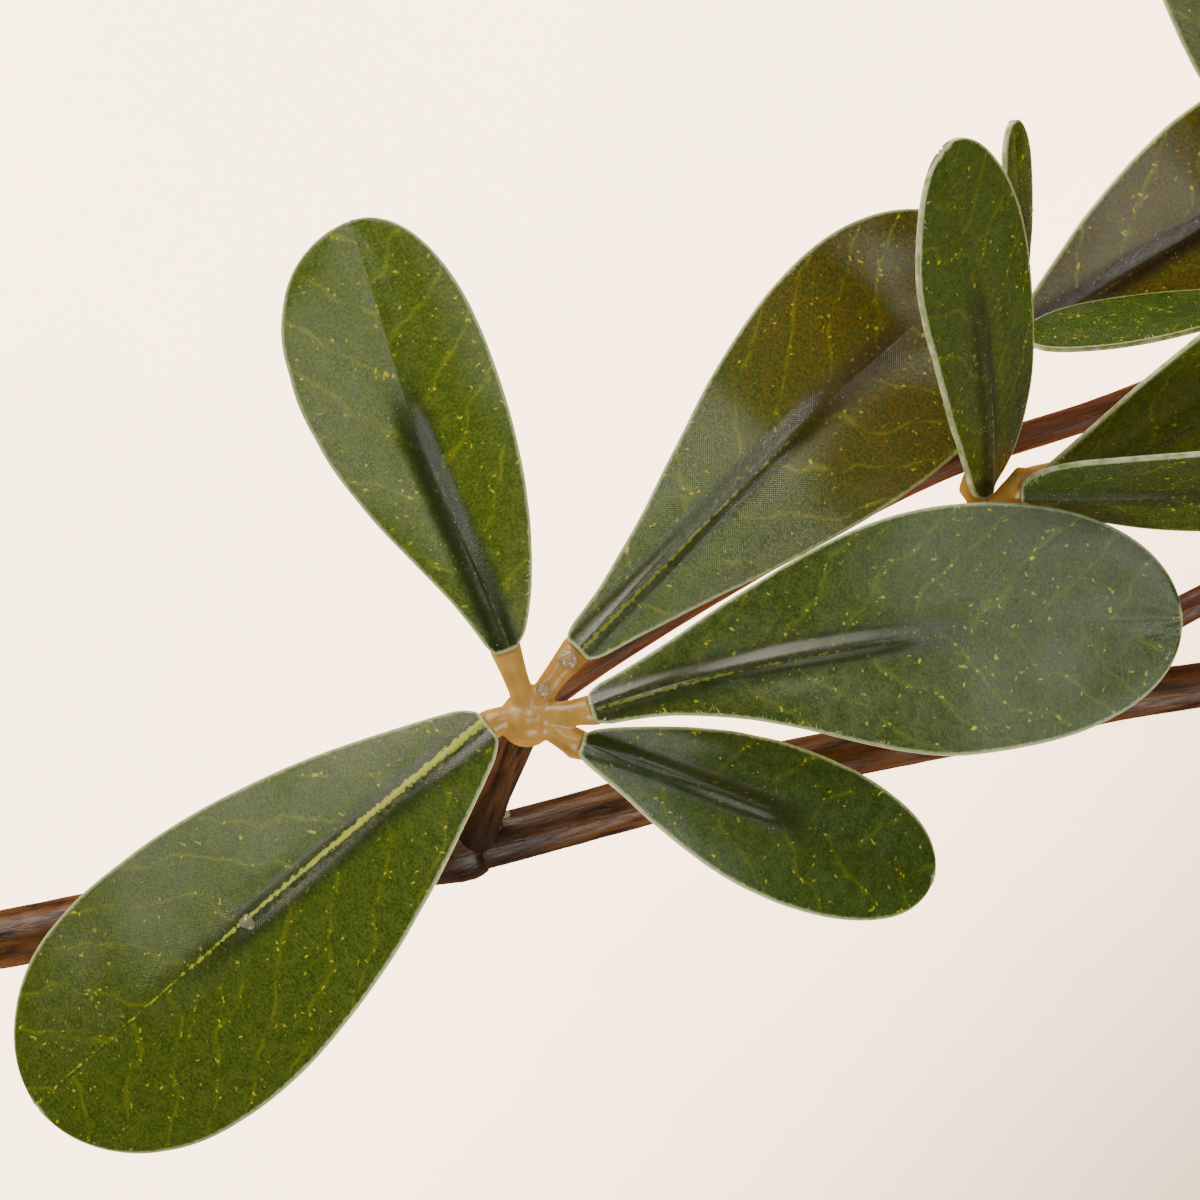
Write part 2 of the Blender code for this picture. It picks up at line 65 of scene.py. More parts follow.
# Lines that the stems follow, from root to tip
mainLine = [
    (-126, -47.5, 2.9), (-95, -42.5, 4.8), (-63.5, -36.2, 7.6), (-36, -30.6, 10.0), (-13.4, -26.0, 12.0),
    (11, -19.4, 13.3), (26.5, -16.0, 14.2), (42, -12.9, 15.6), (59.5, -9.4, 17.2), (90, -6.0, 19.4),
    (119, -10.0, 20.6), (141.5, -17.4, 24.6), (150.6, -20.3, 34.8),
]
mainNode = 4  # the corner where the upper length plugs into the lower one
backLine = [
    (-27.0, -29.0, 10.6), (-14.5, -18.6, 8.6), (-3.2, -8.6, 8.2), (17.2, 4.2, 8.2), (36.2, 14.2, 8.0),
    (53.2, 20.0, 7.0), (69, 26.0, 6.0), (83.5, 30.7, 9.4), (90.6, 32.8, 18.4),
]
rightLine = [
    (42, -12.9, 15.6), (51, -7.4, 18.4), (61.3, -0.6, 21.6), (79, 7.0, 24.0), (99, 11.0, 27.4),
    (114, 12.4, 34.6), (119.9, 12.6, 44.4),
]


def leaf(heading, pitch, length, width, roll=0, droop=16, sweep=0, bow=0, fold=6, widest=0.68, slim=1,
         left=0.5, seat=None, reach=5.4, rise=0.4, warm=(0.1, 0.15), light=0.5, line=0.3, flank=0.6):
    # heading, pitch and roll turn the blade; droop, sweep and bow bend it; fold lifts both halves off the
    # midrib; widest and slim shape its outline, alike or left and right, and left is the left half's share
    # of its width; seat, reach and rise place its base round the hub. The print goes from green to olive by
    # warm, base and tip, and light takes it from a shaded to a lit copy, which is painted light. line sets
    # how its midrib line and the painted glint on its crest show, and flank how dark the painted shade along
    # the rib is.
    made = dict(locals(), seat=heading if seat is None else seat)
    for name in ("widest", "slim"):
        if not isinstance(made[name], tuple):
            made[name] = (made[name], made[name])
    return made


whorls = {
    "front": dict(hub=(-7.0, -11.2, 37.0), foot=(-13.6, -25.9, 12.0), leaves=[
        leaf(109, 10, 45.6, 19.8, roll=2, droop=14, sweep=1, bow=16, fold=7, widest=(0.7, 0.57),
             slim=(1.3, 0.85), left=0.52, seat=111, reach=6.6, rise=1.6, warm=(0.12, 0.12), light=0.85,
             line=0.15, flank=0.9),
        leaf(45.5, -6, 61.2, 25.4, roll=2, droop=14, sweep=-5, bow=4, fold=9, widest=(0.72, 0.7),
             slim=(1.55, 1.15), seat=53, reach=7.8, rise=0.4, warm=(0.15, 0.95), light=0.6, line=0.45,
             flank=0.7),
        leaf(17.8, 8, 60, 25, roll=-9, droop=17, sweep=-16, fold=5, widest=0.62, slim=(1.4, 1.8),
             seat=3, reach=6.2, rise=1.2, warm=(0.2, 0.08), light=0.1, line=0.35, flank=0.75),
        leaf(-19, -16, 42, 15.9, roll=-12, droop=10, sweep=-3, fold=9, widest=(0.6, 0.57),
             slim=(0.9, 1.1), left=0.45, seat=-32, reach=5.9, rise=-0.4, warm=(0, 0), light=0.1, line=0,
             flank=0.8),
        leaf(219, -3, 61.8, 28.6, roll=9, droop=13, sweep=1, fold=-9, widest=(0.66, 0.7),
             slim=(1.0, 0.95), left=0.52, seat=196, reach=4.4, rise=0.6, warm=(0.1, 0.16), light=0.5, line=1,
             flank=0.7),
    ]),
    "right": dict(hub=(39.2, 6.0, 33.0), foot=(35.2, -14.4, 15.0), leaves=[
        leaf(94.5, 48, 44.5, 18.8, roll=55, droop=14, fold=3, widest=(0.7, 0.5), slim=(0.9, 0.6), left=0.46,
             seat=94, reach=4.9, rise=1.5, warm=(0.1, 0), light=0.25, line=0.4, flank=0.7),
        leaf(-1, 8, 56, 25, roll=70, droop=14, sweep=-4, fold=4, slim=(0.5, 0.7), left=0.55,
             seat=58, reach=5.4, rise=6.0, light=0.25),
        leaf(22, 16, 54, 23, roll=46, droop=14, sweep=17, fold=8, slim=(0.9, 1.1),
             seat=46, reach=7.2, rise=-0.6, warm=(0, 0), light=1, line=0.2, flank=0.3),
        leaf(204, -26, 28, 12.5, roll=4, droop=6, seat=222, reach=5.0, rise=-0.8),
        leaf(-30, -64, 30, 14, droop=4, seat=-20, reach=5.8, rise=-1.6),
    ]),
    "back": dict(hub=(40.6, 25.0, 13.0), foot=(40.2, 15.6, 8.4), leaves=[
        leaf(33, -4, 48, 23.5, roll=14, droop=6, sweep=-8, fold=-10, seat=35, reach=5.6,
             warm=(1, 0.6), light=0.55, line=0.2, flank=1),
        leaf(87.5, 22, 22.5, 6.5, roll=60, droop=10, sweep=4, seat=50, reach=5.0, rise=0.6),
        leaf(176, 4, 20, 12, droop=10, seat=170, reach=5.0),
        leaf(212, 2, 30, 13, roll=-6, droop=8, seat=216, reach=5.2, rise=0.6),
    ]),
    "back_tip": dict(stem="branch_back", leaves=[
        leaf(130, 6, 58, 24.5, roll=8, droop=14, sweep=-30, fold=7, widest=0.5, warm=(0.6, 0.4), light=0.6),
        leaf(186, 2, 42, 15, roll=70, droop=4, sweep=3, fold=3, widest=0.75, slim=1.4, seat=180, rise=3.0,
             warm=(0, 0), light=0),
        leaf(64, -13.8, 60, 26, roll=-4, droop=10),
        leaf(14, -4, 54, 23, roll=6, droop=10, fold=7, warm=(0.2, 0.5)),
        leaf(-34, -6, 42, 20, roll=-8, droop=10, fold=7),
    ]),
    "right_tip": dict(stem="branch_right", leaves=[
        leaf(96, 10, 50, 22, roll=10, droop=18, fold=7, warm=(0.1, 0.4)),
        leaf(30, 2, 58, 26, roll=-6, droop=18, line=0.8),
        leaf(-34, 4, 55, 24, roll=8, droop=18, fold=7, light=0.3),
        leaf(-104, 8, 46, 20, roll=-8, droop=16, fold=7, light=0.7),
        leaf(176, 30, 42, 19, roll=6, droop=16, warm=(0.3, 0.6)),
    ]),
    "main_tip": dict(stem="stem_upper", leaves=[
        leaf(66, -8, 52, 22, roll=8, droop=16, fold=7, light=0.35),
        leaf(4, -6, 58, 26, roll=-6, droop=16, warm=(0.1, 0.5), line=0.6),
        leaf(-50, -27, 60, 26, roll=4, droop=20, fold=7, light=0.6),
        leaf(-112, -6, 54, 23, roll=-4, droop=16, fold=7, light=0.4, line=0.9),
        leaf(-176, 10, 44, 19, roll=6, droop=16, warm=(0.4, 0.7)),
    ]),
}


# Small tools

def linear(code):
    # An sRGB hex colour as Blender's linear one.
    parts = [int(code[k:k + 2], 16) / 255 for k in (1, 3, 5)]
    return (*(c / 12.92 if c <= 0.04045 else ((c + 0.055) / 1.055) ** 2.4 for c in parts), 1.0)


def addNode(tree, kind, inputs=None, **settings):
    # Adds a node, sets its properties, and fills its inputs with values or with other nodes' outputs.
    made = tree.nodes.new(kind)
    for name, value in settings.items():
        setattr(made, name, value)
    for key, value in (inputs or {}).items():
        if isinstance(value, bpy.types.NodeSocket):
            tree.links.new(value, made.inputs[key])
        else:
            made.inputs[key].default_value = value
    return made


def calc(tree, operation, *values, clamp=False):
    made = addNode(tree, "ShaderNodeMath", dict(enumerate(values)), operation=operation, use_clamp=clamp)
    return made.outputs[0]


def product(tree, *values):
    result = values[0]
    for value in values[1:]:
        result = calc(tree, "MULTIPLY", result, value)
    return result


def scaled(tree, vector, factor):
    return addNode(tree, "ShaderNodeVectorMath", {0: vector, "Scale": factor}, operation="SCALE").outputs[0]


def splitXyz(tree, vector):
    return addNode(tree, "ShaderNodeSeparateXYZ", {"Vector": vector}).outputs


def spread(tree, value, low, high, toLow=0.0, toHigh=1.0, kind="SMOOTHSTEP"):
    # Carries low to high over to toLow to toHigh, and holds it there outside.
    return addNode(tree, "ShaderNodeMapRange", {
        "Value": value, "From Min": low, "From Max": high, "To Min": toLow, "To Max": toHigh},
        interpolation_type=kind).outputs[0]


def blend(tree, factor, first, second):
    # Mixes two colours, each a hex code or another node's output.
    first, second = (linear(tone) if isinstance(tone, str) else tone for tone in (first, second))
    return addNode(tree, "ShaderNodeMix", {
        "Factor": factor, "A": first, "B": second}, data_type="RGBA").outputs["Result"]


def noiseAt(tree, place, scale, detail, roughness=0.5, output="Fac"):
    return addNode(tree, "ShaderNodeTexNoise", {
        "Vector": place, "Scale": scale, "Detail": detail, "Roughness": roughness}).outputs[output]


def roundStem(tree, around, along, stretch):
    # A place for stem textures that meets itself round the stem: a unit circle, stretched along.
    angle = calc(tree, "MULTIPLY", around, 2 * math.pi)
    return addNode(tree, "ShaderNodeCombineXYZ", {
        0: calc(tree, "COSINE", angle), 1: calc(tree, "SINE", angle),
        2: calc(tree, "MULTIPLY", along, stretch)}).outputs[0]


def newMaterial(name, **values):
    # A material with a Principled shader, some of whose inputs are set by name, written with underscores.
    made = bpy.data.materials.new(name)
    made.use_nodes = True
    shader = made.node_tree.nodes["Principled BSDF"]
    for key, value in values.items():
        shader.inputs[key.replace("_", " ")].default_value = value
    return made, made.node_tree, shader


def colourIt(tree, shader, colour):
    tree.links.new(colour, shader.inputs["Base Color"])


def bumpIt(tree, shader, height, strength, depth):
    bump = addNode(tree, "ShaderNodeBump", {"Height": height, "Strength": strength, "Distance": depth})
    tree.links.new(bump.outputs["Normal"], shader.inputs["Normal"])


def smoothstep(low, high, x):
    x = min(max((x - low) / (high - low), 0.0), 1.0)
    return x * x * (3 - 2 * x)


def unit(degrees):
    return Vector((math.cos(math.radians(degrees)), math.sin(math.radians(degrees)), 0.0))


def bake(thing):
    # Turns an object's modifiers into its mesh.
    graph = bpy.context.evaluated_depsgraph_get()
    finished = bpy.data.meshes.new_from_object(thing.evaluated_get(graph))
    thing.modifiers.clear()
    thing.data = finished
    return thing


def newObject(name, points, faces, edges=(), turnOut=True):
    mesh = bpy.data.meshes.new(name)
    mesh.from_pydata([(Vector(p) + shift) * mm for p in points], edges, faces)
    if faces and turnOut:
        body = bmesh.new()
        body.from_mesh(mesh)
        bmesh.ops.recalc_face_normals(body, faces=body.faces)
        body.to_mesh(mesh)
        body.free()
    mesh.shade_smooth()
    made = bpy.data.objects.new(name, mesh)
    bpy.context.scene.collection.objects.link(made)
    return made


midribAt = 100.0  # print coordinates count the midrib as 100 mm, so that none is below zero


class Route:
    # A smooth line through some points, read by its length from the first of them.

    def __init__(self, corners, steps=12):
        p = [Vector(c) for c in corners]
        p = [2 * p[0] - p[1], *p, 2 * p[-1] - p[-2]]
        self.points = []
        for a, b, c, d in zip(p, p[1:], p[2:], p[3:]):
            for k in range(steps):
                t = k / steps
                square = 2 * a - 5 * b + 4 * c - d
                cube = 3 * b - a - 3 * c + d
                self.points.append(0.5 * (2 * b + (c - a) * t + square * t * t + cube * t ** 3))
        self.points.append(p[-2])
        self.lengths = [0.0]
        for a, b in zip(self.points, self.points[1:]):
            self.lengths.append(self.lengths[-1] + (b - a).length)
        self.length = self.lengths[-1]
        self.end = (self.points[-1] - self.points[-2]).normalized()

    def at(self, s):
        i = max(0, min(len(self.points) - 2, sum(1 for x in self.lengths[1:] if x < s)))
        share = (s - self.lengths[i]) / (self.lengths[i + 1] - self.lengths[i])
        return self.points[i].lerp(self.points[i + 1], share)


outline = {
    "neck": 0.16,  # a leaf's width where it is cut at the base, as a share of its widest
    "tipPower": 2.25,
    "tipRound": 2.05,
    "baseCorner": 0.035,  # share of the length over which the base's corners are rounded
    "baseNarrow": 0.55,
}


class Blade:
    # One leaf's curved surface: a bent spine with a folded cross-section, t from base to tip, u across.

    def __init__(self, hub, shape, steps=48):
        self.shape = shape
        self.steps = steps
        up = Vector((0, 0, 1))
        pitch, roll = math.radians(shape["pitch"]), math.radians(shape["roll"])
        along = unit(shape["heading"]) * math.cos(pitch) + up * math.sin(pitch)
        level = unit(shape["heading"] + 90)
        side = level * math.cos(roll) + along.cross(level) * math.sin(roll)
        normal = along.cross(side)
        point = hub + unit(shape["seat"]) * shape["reach"] + up * shape["rise"]
        droop = math.radians(shape["droop"]) / steps
        self.stations = []
        for k in range(steps + 1):
            self.stations.append((point.copy(), along.copy(), side.copy(), normal.copy()))
            bow = shape["bow"] * math.pi / 2 * math.cos(2 * math.pi * k / steps)
            sweep = math.radians(shape["sweep"] + bow) / steps
            middle = (along + 0.5 * (side * sweep - normal * droop)).normalized()
            point = point + middle * shape["length"] / steps
            along = (along + side * sweep - normal * droop).normalized()
            side = (side - along * side.dot(along)).normalized()
            normal = along.cross(side)

    def frame(self, t):
        place = min(max(t, 0.0), 1.0) * self.steps
        i = min(int(place), self.steps - 1)
        return [a.lerp(b, place - i) for a, b in zip(self.stations[i], self.stations[i + 1])]

    def half(self, t, u):
        # How wide the half on u's side is at t: a narrow round base, widest past the middle, a round tip.
        side = 0 if u > 0 else 1
        widest, slim = self.shape["widest"][side], self.shape["slim"][side]
        neck, tipPower, tipRound = outline["neck"], outline["tipPower"], outline["tipRound"]
        if t <= widest:
            share = neck + (1 - neck) * math.sin(math.pi / 2 * (t / widest) ** slim)
        else:
            share = max(0.0, 1 - ((t - widest) / (1 - widest)) ** tipPower) ** (1 / tipRound)
        corner, narrow = outline["baseCorner"], outline["baseNarrow"]
        if t < corner:
            share *= narrow + (1 - narrow) * math.sqrt(1 - (1 - t / corner) ** 2)
        return share * self.shape["width"] * (self.shape["left"], 1 - self.shape["left"])[side]

    def point(self, t, u, lift=0.0):
        place, _, side, normal = self.frame(t)
        d = self.half(t, u) * u
        return place + side * d + normal * (math.tan(math.radians(self.shape["fold"])) * abs(d) + lift)


def frameShift():
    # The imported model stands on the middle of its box: how far that moved it, from one leaf's corner.
    blade = Blade(Vector(whorls["front"]["hub"]), whorls["front"]["leaves"][2])
    half = 0.325  # of the solid leaf's thickness
    rows = [min(1 - (1 - k / 11) ** 1.35, 0.994) for k in range(12)]
    corners = [blade.point(t, u, z) for t in rows for u in (-1, -0.52, 0, 0.52, 1) for z in (-half, half)]
    low = Vector([min(c[k] for c in corners) for k in range(3)])
    return Vector(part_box("leaf_front_3")[0]) / mm - low


shift = frameShift()
print("frame shift in mm", [round(c, 2) for c in shift])


# Materials

threadGap = 0.3  # between the cloth's threads, in mm
printBuild = {
    "ground": [("#25390f", "#3a5115"), ("#3d5214", "#5b6d1e"), ("#312d02", "#575106")],  # a shaded and a lit copy of the green ground, which is painted light, and olive
    "noises": {  # spots to a millimetre, and roughness
        "broad": (0.13, 0.5), "patchy": (0.5, 0.5), "blotch": (0.8, 0.5), "dashes": (1.7, 0.5),
        "speckle": (3.2, 0.6), "grain": (6.0, 0.5),
    },
    "veinTones": ("#58660f", "#7b8416"),  # on a shaded and on a lit leaf, painted light like the ground
    "veinGap": 7.0,  # between side veins, in mm
    "veinStagger": 3.4,  # how far the left side's veins run ahead
    "veinSlant": 0.6,
    "veinBend": 0.045,
    "veinWander": (8.0, 0.9),  # over the whole leaf and between blotches
    "veinHalf": (0.05, 0.5),
    "veinStrength": 0.7,
    "dotTone": "#aeb02c",
    "dotScale": 1.15,
    "dotHalf": (0.1, 0.26),
    "dotChance": (0.6, 1.0),
    # painted shade along the rib, darkest at the midrib and fading out before the rib's end
    "ribShadeTones": ("#17260f", "#221a05"),  # on a green and on an olive leaf
    "ribShadeHalf": (0.9, 2.6),
    "ribShadeEnd": (0.5, 0.7),
    # painted shade in a wedge beyond the rib's end on an olive leaf
    "wedgeShadeTone": "#1f1804",
    "wedgeHalf": (0.6, 3.0),
    "wedgeStart": (0.46, 0.6),
    "wedgeEnd": (0.7, 0.86),
    # painted highlight: the silver-grey glint along the rib's crest
    "crestGlintTone": "#7d7c6c",
    "crestGlintHalf": (0.1, 0.55),
    "crestGlintEnd": (0.4, 0.62),
    "lineTones": ("#97a62c", "#94802a"),
    "lineAside": 0.35,  # the line runs this far to one side of the crest, and the painted silver glint to the other
    "lineHalf": (0.5, 0.12),  # at the base and near the tip, in mm
    "lineWider": 0.38,  # added where the leaf's own line is 1
    # pale specks near the rib: dust, and partly painted glints
    "lineRagged": 0.95,
    "dustAndGlintTone": "#c9ccbe",
    "fleckScale": 2.0,
    "fleckHalf": (0.06, 0.13),
    "rimTone": "#a3b184",
    "rimWidth": (-0.1, 0.28),
    "rimRagged": 0.35,
    "wavy": (0.11, 0.3 * mm),  # waves to a millimetre, and their depth
    "weave": (0.2, 0.03 * mm),  # strength and depth
    "gloss": (0.2, 0.27),  # roughness, from blotch to blotch
}


def weaveAt(tree, place):
    turn = splitXyz(tree, scaled(tree, place, 2 * math.pi / threadGap))
    return product(tree, calc(tree, "SINE", turn["X"]), calc(tree, "SINE", turn["Y"]))


def leafPrint():
    # Polyester cloth, heat-printed with a leaf's picture and pressed in a hot mould: a green ground, blotched
    # like a photograph of a leaf, with olive side veins and yellow dots. Satin, where the mould has ironed
    # the threads flat.
    made, tree, shader = newMaterial(
        "printed polyester cloth", IOR=1.5, Subsurface_Weight=0.25, Subsurface_Radius=(0.6, 1.0, 0.25),
        Subsurface_Scale=0.5 * mm)
    ink = printBuild
    place = addNode(tree, "ShaderNodeUVMap", uv_map="print").outputs["UV"]
    blade = addNode(tree, "ShaderNodeUVMap", uv_map="blade").outputs["UV"]
    fromCut, along, _ = splitXyz(tree, blade)
    fromCut = calc(tree, "MULTIPLY", fromCut, 10.0)
    tone = addNode(tree, "ShaderNodeVertexColor", layer_name="tone")
    warm, light, line = addNode(tree, "ShaderNodeSeparateColor", {"Color": tone.outputs["Color"]}).outputs
    flank = tone.outputs["Alpha"]
    across, s, _ = splitXyz(tree, place)
    d = calc(tree, "SUBTRACT", across, midribAt)
    away = calc(tree, "ABSOLUTE", d)
    broad, patchy, blotch, dashes, speckle, grain = (
        noiseAt(tree, place, scale, 2.0, roughness) for scale, roughness in ink["noises"].values())

    def fadeOut(value, limits):
        return spread(tree, value, *limits, 1.0, 0.0)

    def addTo(base, value, factor):
        return calc(tree, "MULTIPLY_ADD", value, factor, base)

    # Ground: dark to mid by the blotches; lighter or darker by leaf, as painted light between a shaded and a
    # lit copy; olive where the leaf is warm
    speck = spread(tree, addTo(product(tree, blotch, 0.35), speckle, 0.65), 0.36, 0.64)
    shady, sunny, olive = (blend(tree, speck, *pair) for pair in ink["ground"])
    cloud = spread(tree, blotch, 0.3, 0.7, 0.6, 1.4)
    warmth = calc(tree, "MULTIPLY", warm, cloud, clamp=True)
    colour = blend(tree, warmth, blend(tree, light, shady, sunny), olive)

    # Side veins that leave the midrib in turn and bend towards the tip
    start = addTo(s, calc(tree, "GREATER_THAN", d, 0.0), ink["veinStagger"])
    start = addTo(start, broad, ink["veinWander"][0])
    start = addTo(start, away, -ink["veinSlant"])
    start = addTo(start, product(tree, away, away), -ink["veinBend"])
    start = addTo(start, blotch, ink["veinWander"][1])
    veinGap = calc(tree, "PINGPONG", start, ink["veinGap"] / 2)
    veinLine = product(tree, fadeOut(veinGap, ink["veinHalf"]), spread(tree, patchy, 0.35, 0.6, 0.15, 0.75))
    veinTone = blend(tree, light, *ink["veinTones"])
    colour = blend(tree, product(tree, veinLine, ink["veinStrength"]), colour, veinTone)

    # Yellow dots, strung along the side veins and scattered between them
    warp = scaled(tree, noiseAt(tree, place, 0.7, 3.0, output="Color"), 2.2)
    bent = addNode(tree, "ShaderNodeVectorMath", {0: place, 1: warp}, operation="ADD").outputs[0]
    dots = addNode(tree, "ShaderNodeTexVoronoi", {"Vector": bent, "Scale": ink["dotScale"]}).outputs
    pick = addNode(tree, "ShaderNodeSeparateColor", {"Color": dots["Color"]}).outputs[0]
    strung = product(tree, fadeOut(veinGap, (0.4, 1.0)), spread(tree, patchy, 0.35, 0.5))
    chance = spread(tree, addTo(pick, strung, 0.7), *ink["dotChance"], 0.0, 0.95)
    dotted = product(tree, fadeOut(dots["Distance"], ink["dotHalf"]), chance)
    colour = blend(tree, dotted, colour, ink["dotTone"])

    # Painted shade: the channel along the rib is darkened, as if the rib beneath kept light from coming
    # through the cloth
    channel = product(tree, fadeOut(away, ink["ribShadeHalf"]), fadeOut(along, ink["ribShadeEnd"]), flank)
    colour = blend(tree, channel, colour, blend(tree, warm, *ink["ribShadeTones"]))

    # Painted shade: an olive leaf darkens in a wedge beyond the rib's end
    wedge = product(tree, fadeOut(away, ink["wedgeHalf"]), spread(tree, along, *ink["wedgeStart"]),
                    fadeOut(along, ink["wedgeEnd"]))
    colour = blend(tree, product(tree, wedge, warmth, 0.85), colour, ink["wedgeShadeTone"])

    # Painted highlight: a silver-grey band on the rib's crest, where light would glint off the threads
    crest = calc(tree, "ABSOLUTE", calc(tree, "SUBTRACT", d, ink["lineAside"]))
    worn = product(tree, fadeOut(crest, ink["crestGlintHalf"]), fadeOut(along, ink["crestGlintEnd"]),
                   spread(tree, dashes, 0.3, 0.7))
    colour = blend(tree, product(tree, worn, line, 0.4), colour, ink["crestGlintTone"])

    # Midrib line with a ragged edge, thinning out towards the tip
    lineGap = calc(tree, "ABSOLUTE", calc(tree, "ADD", d, ink["lineAside"]))
    lineGap = addTo(lineGap, dashes, ink["lineRagged"])
    lineHalf = addTo(spread(tree, along, 0.0, 0.85, *ink["lineHalf"]), line, ink["lineWider"])
    lineIn = calc(tree, "SUBTRACT", lineHalf, lineGap)
    lineTone = blend(tree, warmth, *ink["lineTones"])
    colour = blend(tree, product(tree, spread(tree, lineIn, -0.06, 0.1), line), colour, lineTone)

    # Threads show through the ink; pale specks along the rib are dust, and partly painted glints
    colour = scaled(tree, colour, spread(tree, grain, 0.25, 0.75, 0.8, 1.2))
    dust = addNode(tree, "ShaderNodeTexVoronoi", {"Vector": place, "Scale": ink["fleckScale"]}).outputs
    dustPick = addNode(tree, "ShaderNodeSeparateColor", {"Color": dust["Color"]}).outputs[1]
    dustOn = calc(tree, "GREATER_THAN", dustPick, spread(tree, away, 1.5, 3.5, 0.84, 0.99))
    dusty = product(tree, fadeOut(dust["Distance"], ink["fleckHalf"]), dustOn, 0.7)
    colour = blend(tree, dusty, colour, ink["dustAndGlintTone"])

    # The ink stops short of the cut
    rim = addTo(fromCut, dashes, -ink["rimRagged"])
    bare = spread(tree, rim, *ink["rimWidth"], 0.85, 0.0)
    colourIt(tree, shader, blend(tree, bare, colour, ink["rimTone"]))

    # Weave, on cloth that the mould left a little wavy
    waves, waveDepth = ink["wavy"]
    strength, depth = ink["weave"]
    wavy = addNode(tree, "ShaderNodeBump", {
        "Height": noiseAt(tree, place, waves, 1.0), "Strength": 1.0, "Distance": waveDepth})
    bump = addNode(tree, "ShaderNodeBump", {
        "Height": addTo(weaveAt(tree, place), grain, 3.0), "Strength": strength, "Distance": depth,
        "Normal": wavy.outputs["Normal"]})
    tree.links.new(bump.outputs["Normal"], shader.inputs["Normal"])
    tree.links.new(spread(tree, blotch, 0.3, 0.7, *ink["gloss"]), shader.inputs["Roughness"])
    return made


def leafBack():
    # The unprinted side of the same cloth: the ink has struck through as a dull sage, and it isn't ironed.
    made, tree, shader = newMaterial("back of printed cloth", Roughness=0.75, Sheen_Weight=0.3)
    place = addNode(tree, "ShaderNodeUVMap", uv_map="print").outputs["UV"]
    colourIt(tree, shader, blend(tree, noiseAt(tree, place, 0.5, 4.0), "#6f7146", "#938f68"))
    bumpIt(tree, shader, weaveAt(tree, place), 0.5, 0.08 * mm)
    return made


def objectPlace(tree):
    return addNode(tree, "ShaderNodeTexCoord").outputs["Object"]


def cutFibre():
    # Bare polyester where the die cut through the cloth: pale, matt threads, a little green from the ink.
    made, tree, shader = newMaterial(
        "cut polyester thread", Roughness=0.9, Subsurface_Weight=0.3, Subsurface_Radius=(1.0, 1.0, 0.8),
        Subsurface_Scale=0.5 * mm)
    mottle = spread(tree, noiseAt(tree, objectPlace(tree), 900.0, 2.0), 0.35, 0.65, kind="LINEAR")
    colourIt(tree, shader, blend(tree, mottle, "#84975f", "#bcc6a4"))
    return made


def starPlastic():
    # Cream low-density polyethylene, injection moulded: waxy, lets light into its edges, soft gloss.
    made, tree, shader = newMaterial(
        "cream polyethylene", Roughness=0.26, IOR=1.51, Subsurface_Weight=0.6,
        Subsurface_Radius=(1.2, 1.0, 0.5), Subsurface_Scale=1.1 * mm)
    place = objectPlace(tree)
    cloud = spread(tree, noiseAt(tree, place, 260.0, 3.0), 0.32, 0.68, kind="LINEAR")
    colourIt(tree, shader, blend(tree, cloud, "#8a6826", "#b8954d"))
    bumpIt(tree, shader, noiseAt(tree, place, 700.0, 3.0), 0.4, 0.3 * mm)
    return made


ridgeStretch = 55.0  # per metre: the bark's ridges run on for about 18 mm


def stemPlastic():
    # Brown polyethylene moulded over wire in a bark-like mould, rubbed with a darker wash that stays in
    # the grooves: golden on the ridges, near black in between, glossy where it was fingered.
    made, tree, shader = newMaterial("brown bark-moulded polyethylene", IOR=1.42)
    around, along, redness = (
        addNode(tree, "ShaderNodeAttribute", attribute_name=name).outputs["Fac"]
        for name in ("around", "along", "redness"))
    place = roundStem(tree, around, along, ridgeStretch)
    groove = spread(tree, noiseAt(tree, place, 2.4, 4.0, 0.65), 0.38, 0.6, kind="LINEAR")
    brown = blend(tree, groove, "#1d0f08", "#5f3e18")
    red = blend(tree, groove, "#331508", "#5f3315")
    # below 0 redness goes to near black: the dark wash, and painted shade where stems meet
    washed = calc(tree, "MULTIPLY", redness, -1.0, clamp=True)
    colourIt(tree, shader, blend(tree, washed, blend(tree, redness, brown, red), "#140a05"))
    fine = noiseAt(tree, place, 9.0, 3.0)
    bumpIt(tree, shader, fine, 0.5, 0.2 * mm)
    gloss = spread(tree, fine, 0.35, 0.65, 0.24, 0.5, kind="LINEAR")
    tree.links.new(gloss, shader.inputs["Roughness"])
    return made


def galvanisedWire():
    # Soft iron wire with a drawn zinc skin: grey, faintly lined along its length.
    made, tree, shader = newMaterial("galvanised wire", Metallic=1.0)
    marks = noiseAt(tree, objectPlace(tree), 2500.0, 3.0)
    colourIt(tree, shader, blend(tree, marks, "#8b8d8e", "#c4c6c6"))
    tree.links.new(spread(tree, marks, 0.0, 1.0, 0.3, 0.5, kind="LINEAR"), shader.inputs["Roughness"])
    return made


def hotGlue():
    # Hot-melt EVA glue: clear and faintly yellow, with a soft wet gloss and tiny bubbles.
    made, tree, shader = newMaterial(
        "hot-melt glue", Base_Color=linear("#f6ecd2"), Roughness=0.08, IOR=1.48, Transmission_Weight=0.85)
    bumpIt(tree, shader, noiseAt(tree, objectPlace(tree), 900.0, 2.0), 0.5, 0.3 * mm)
    return made


cloth, clothBack, fibre = leafPrint(), leafBack(), cutFibre()
cream, bark, zinc, glue = starPlastic(), stemPlastic(), galvanisedWire(), hotGlue()
print("materials done")


# Leaves

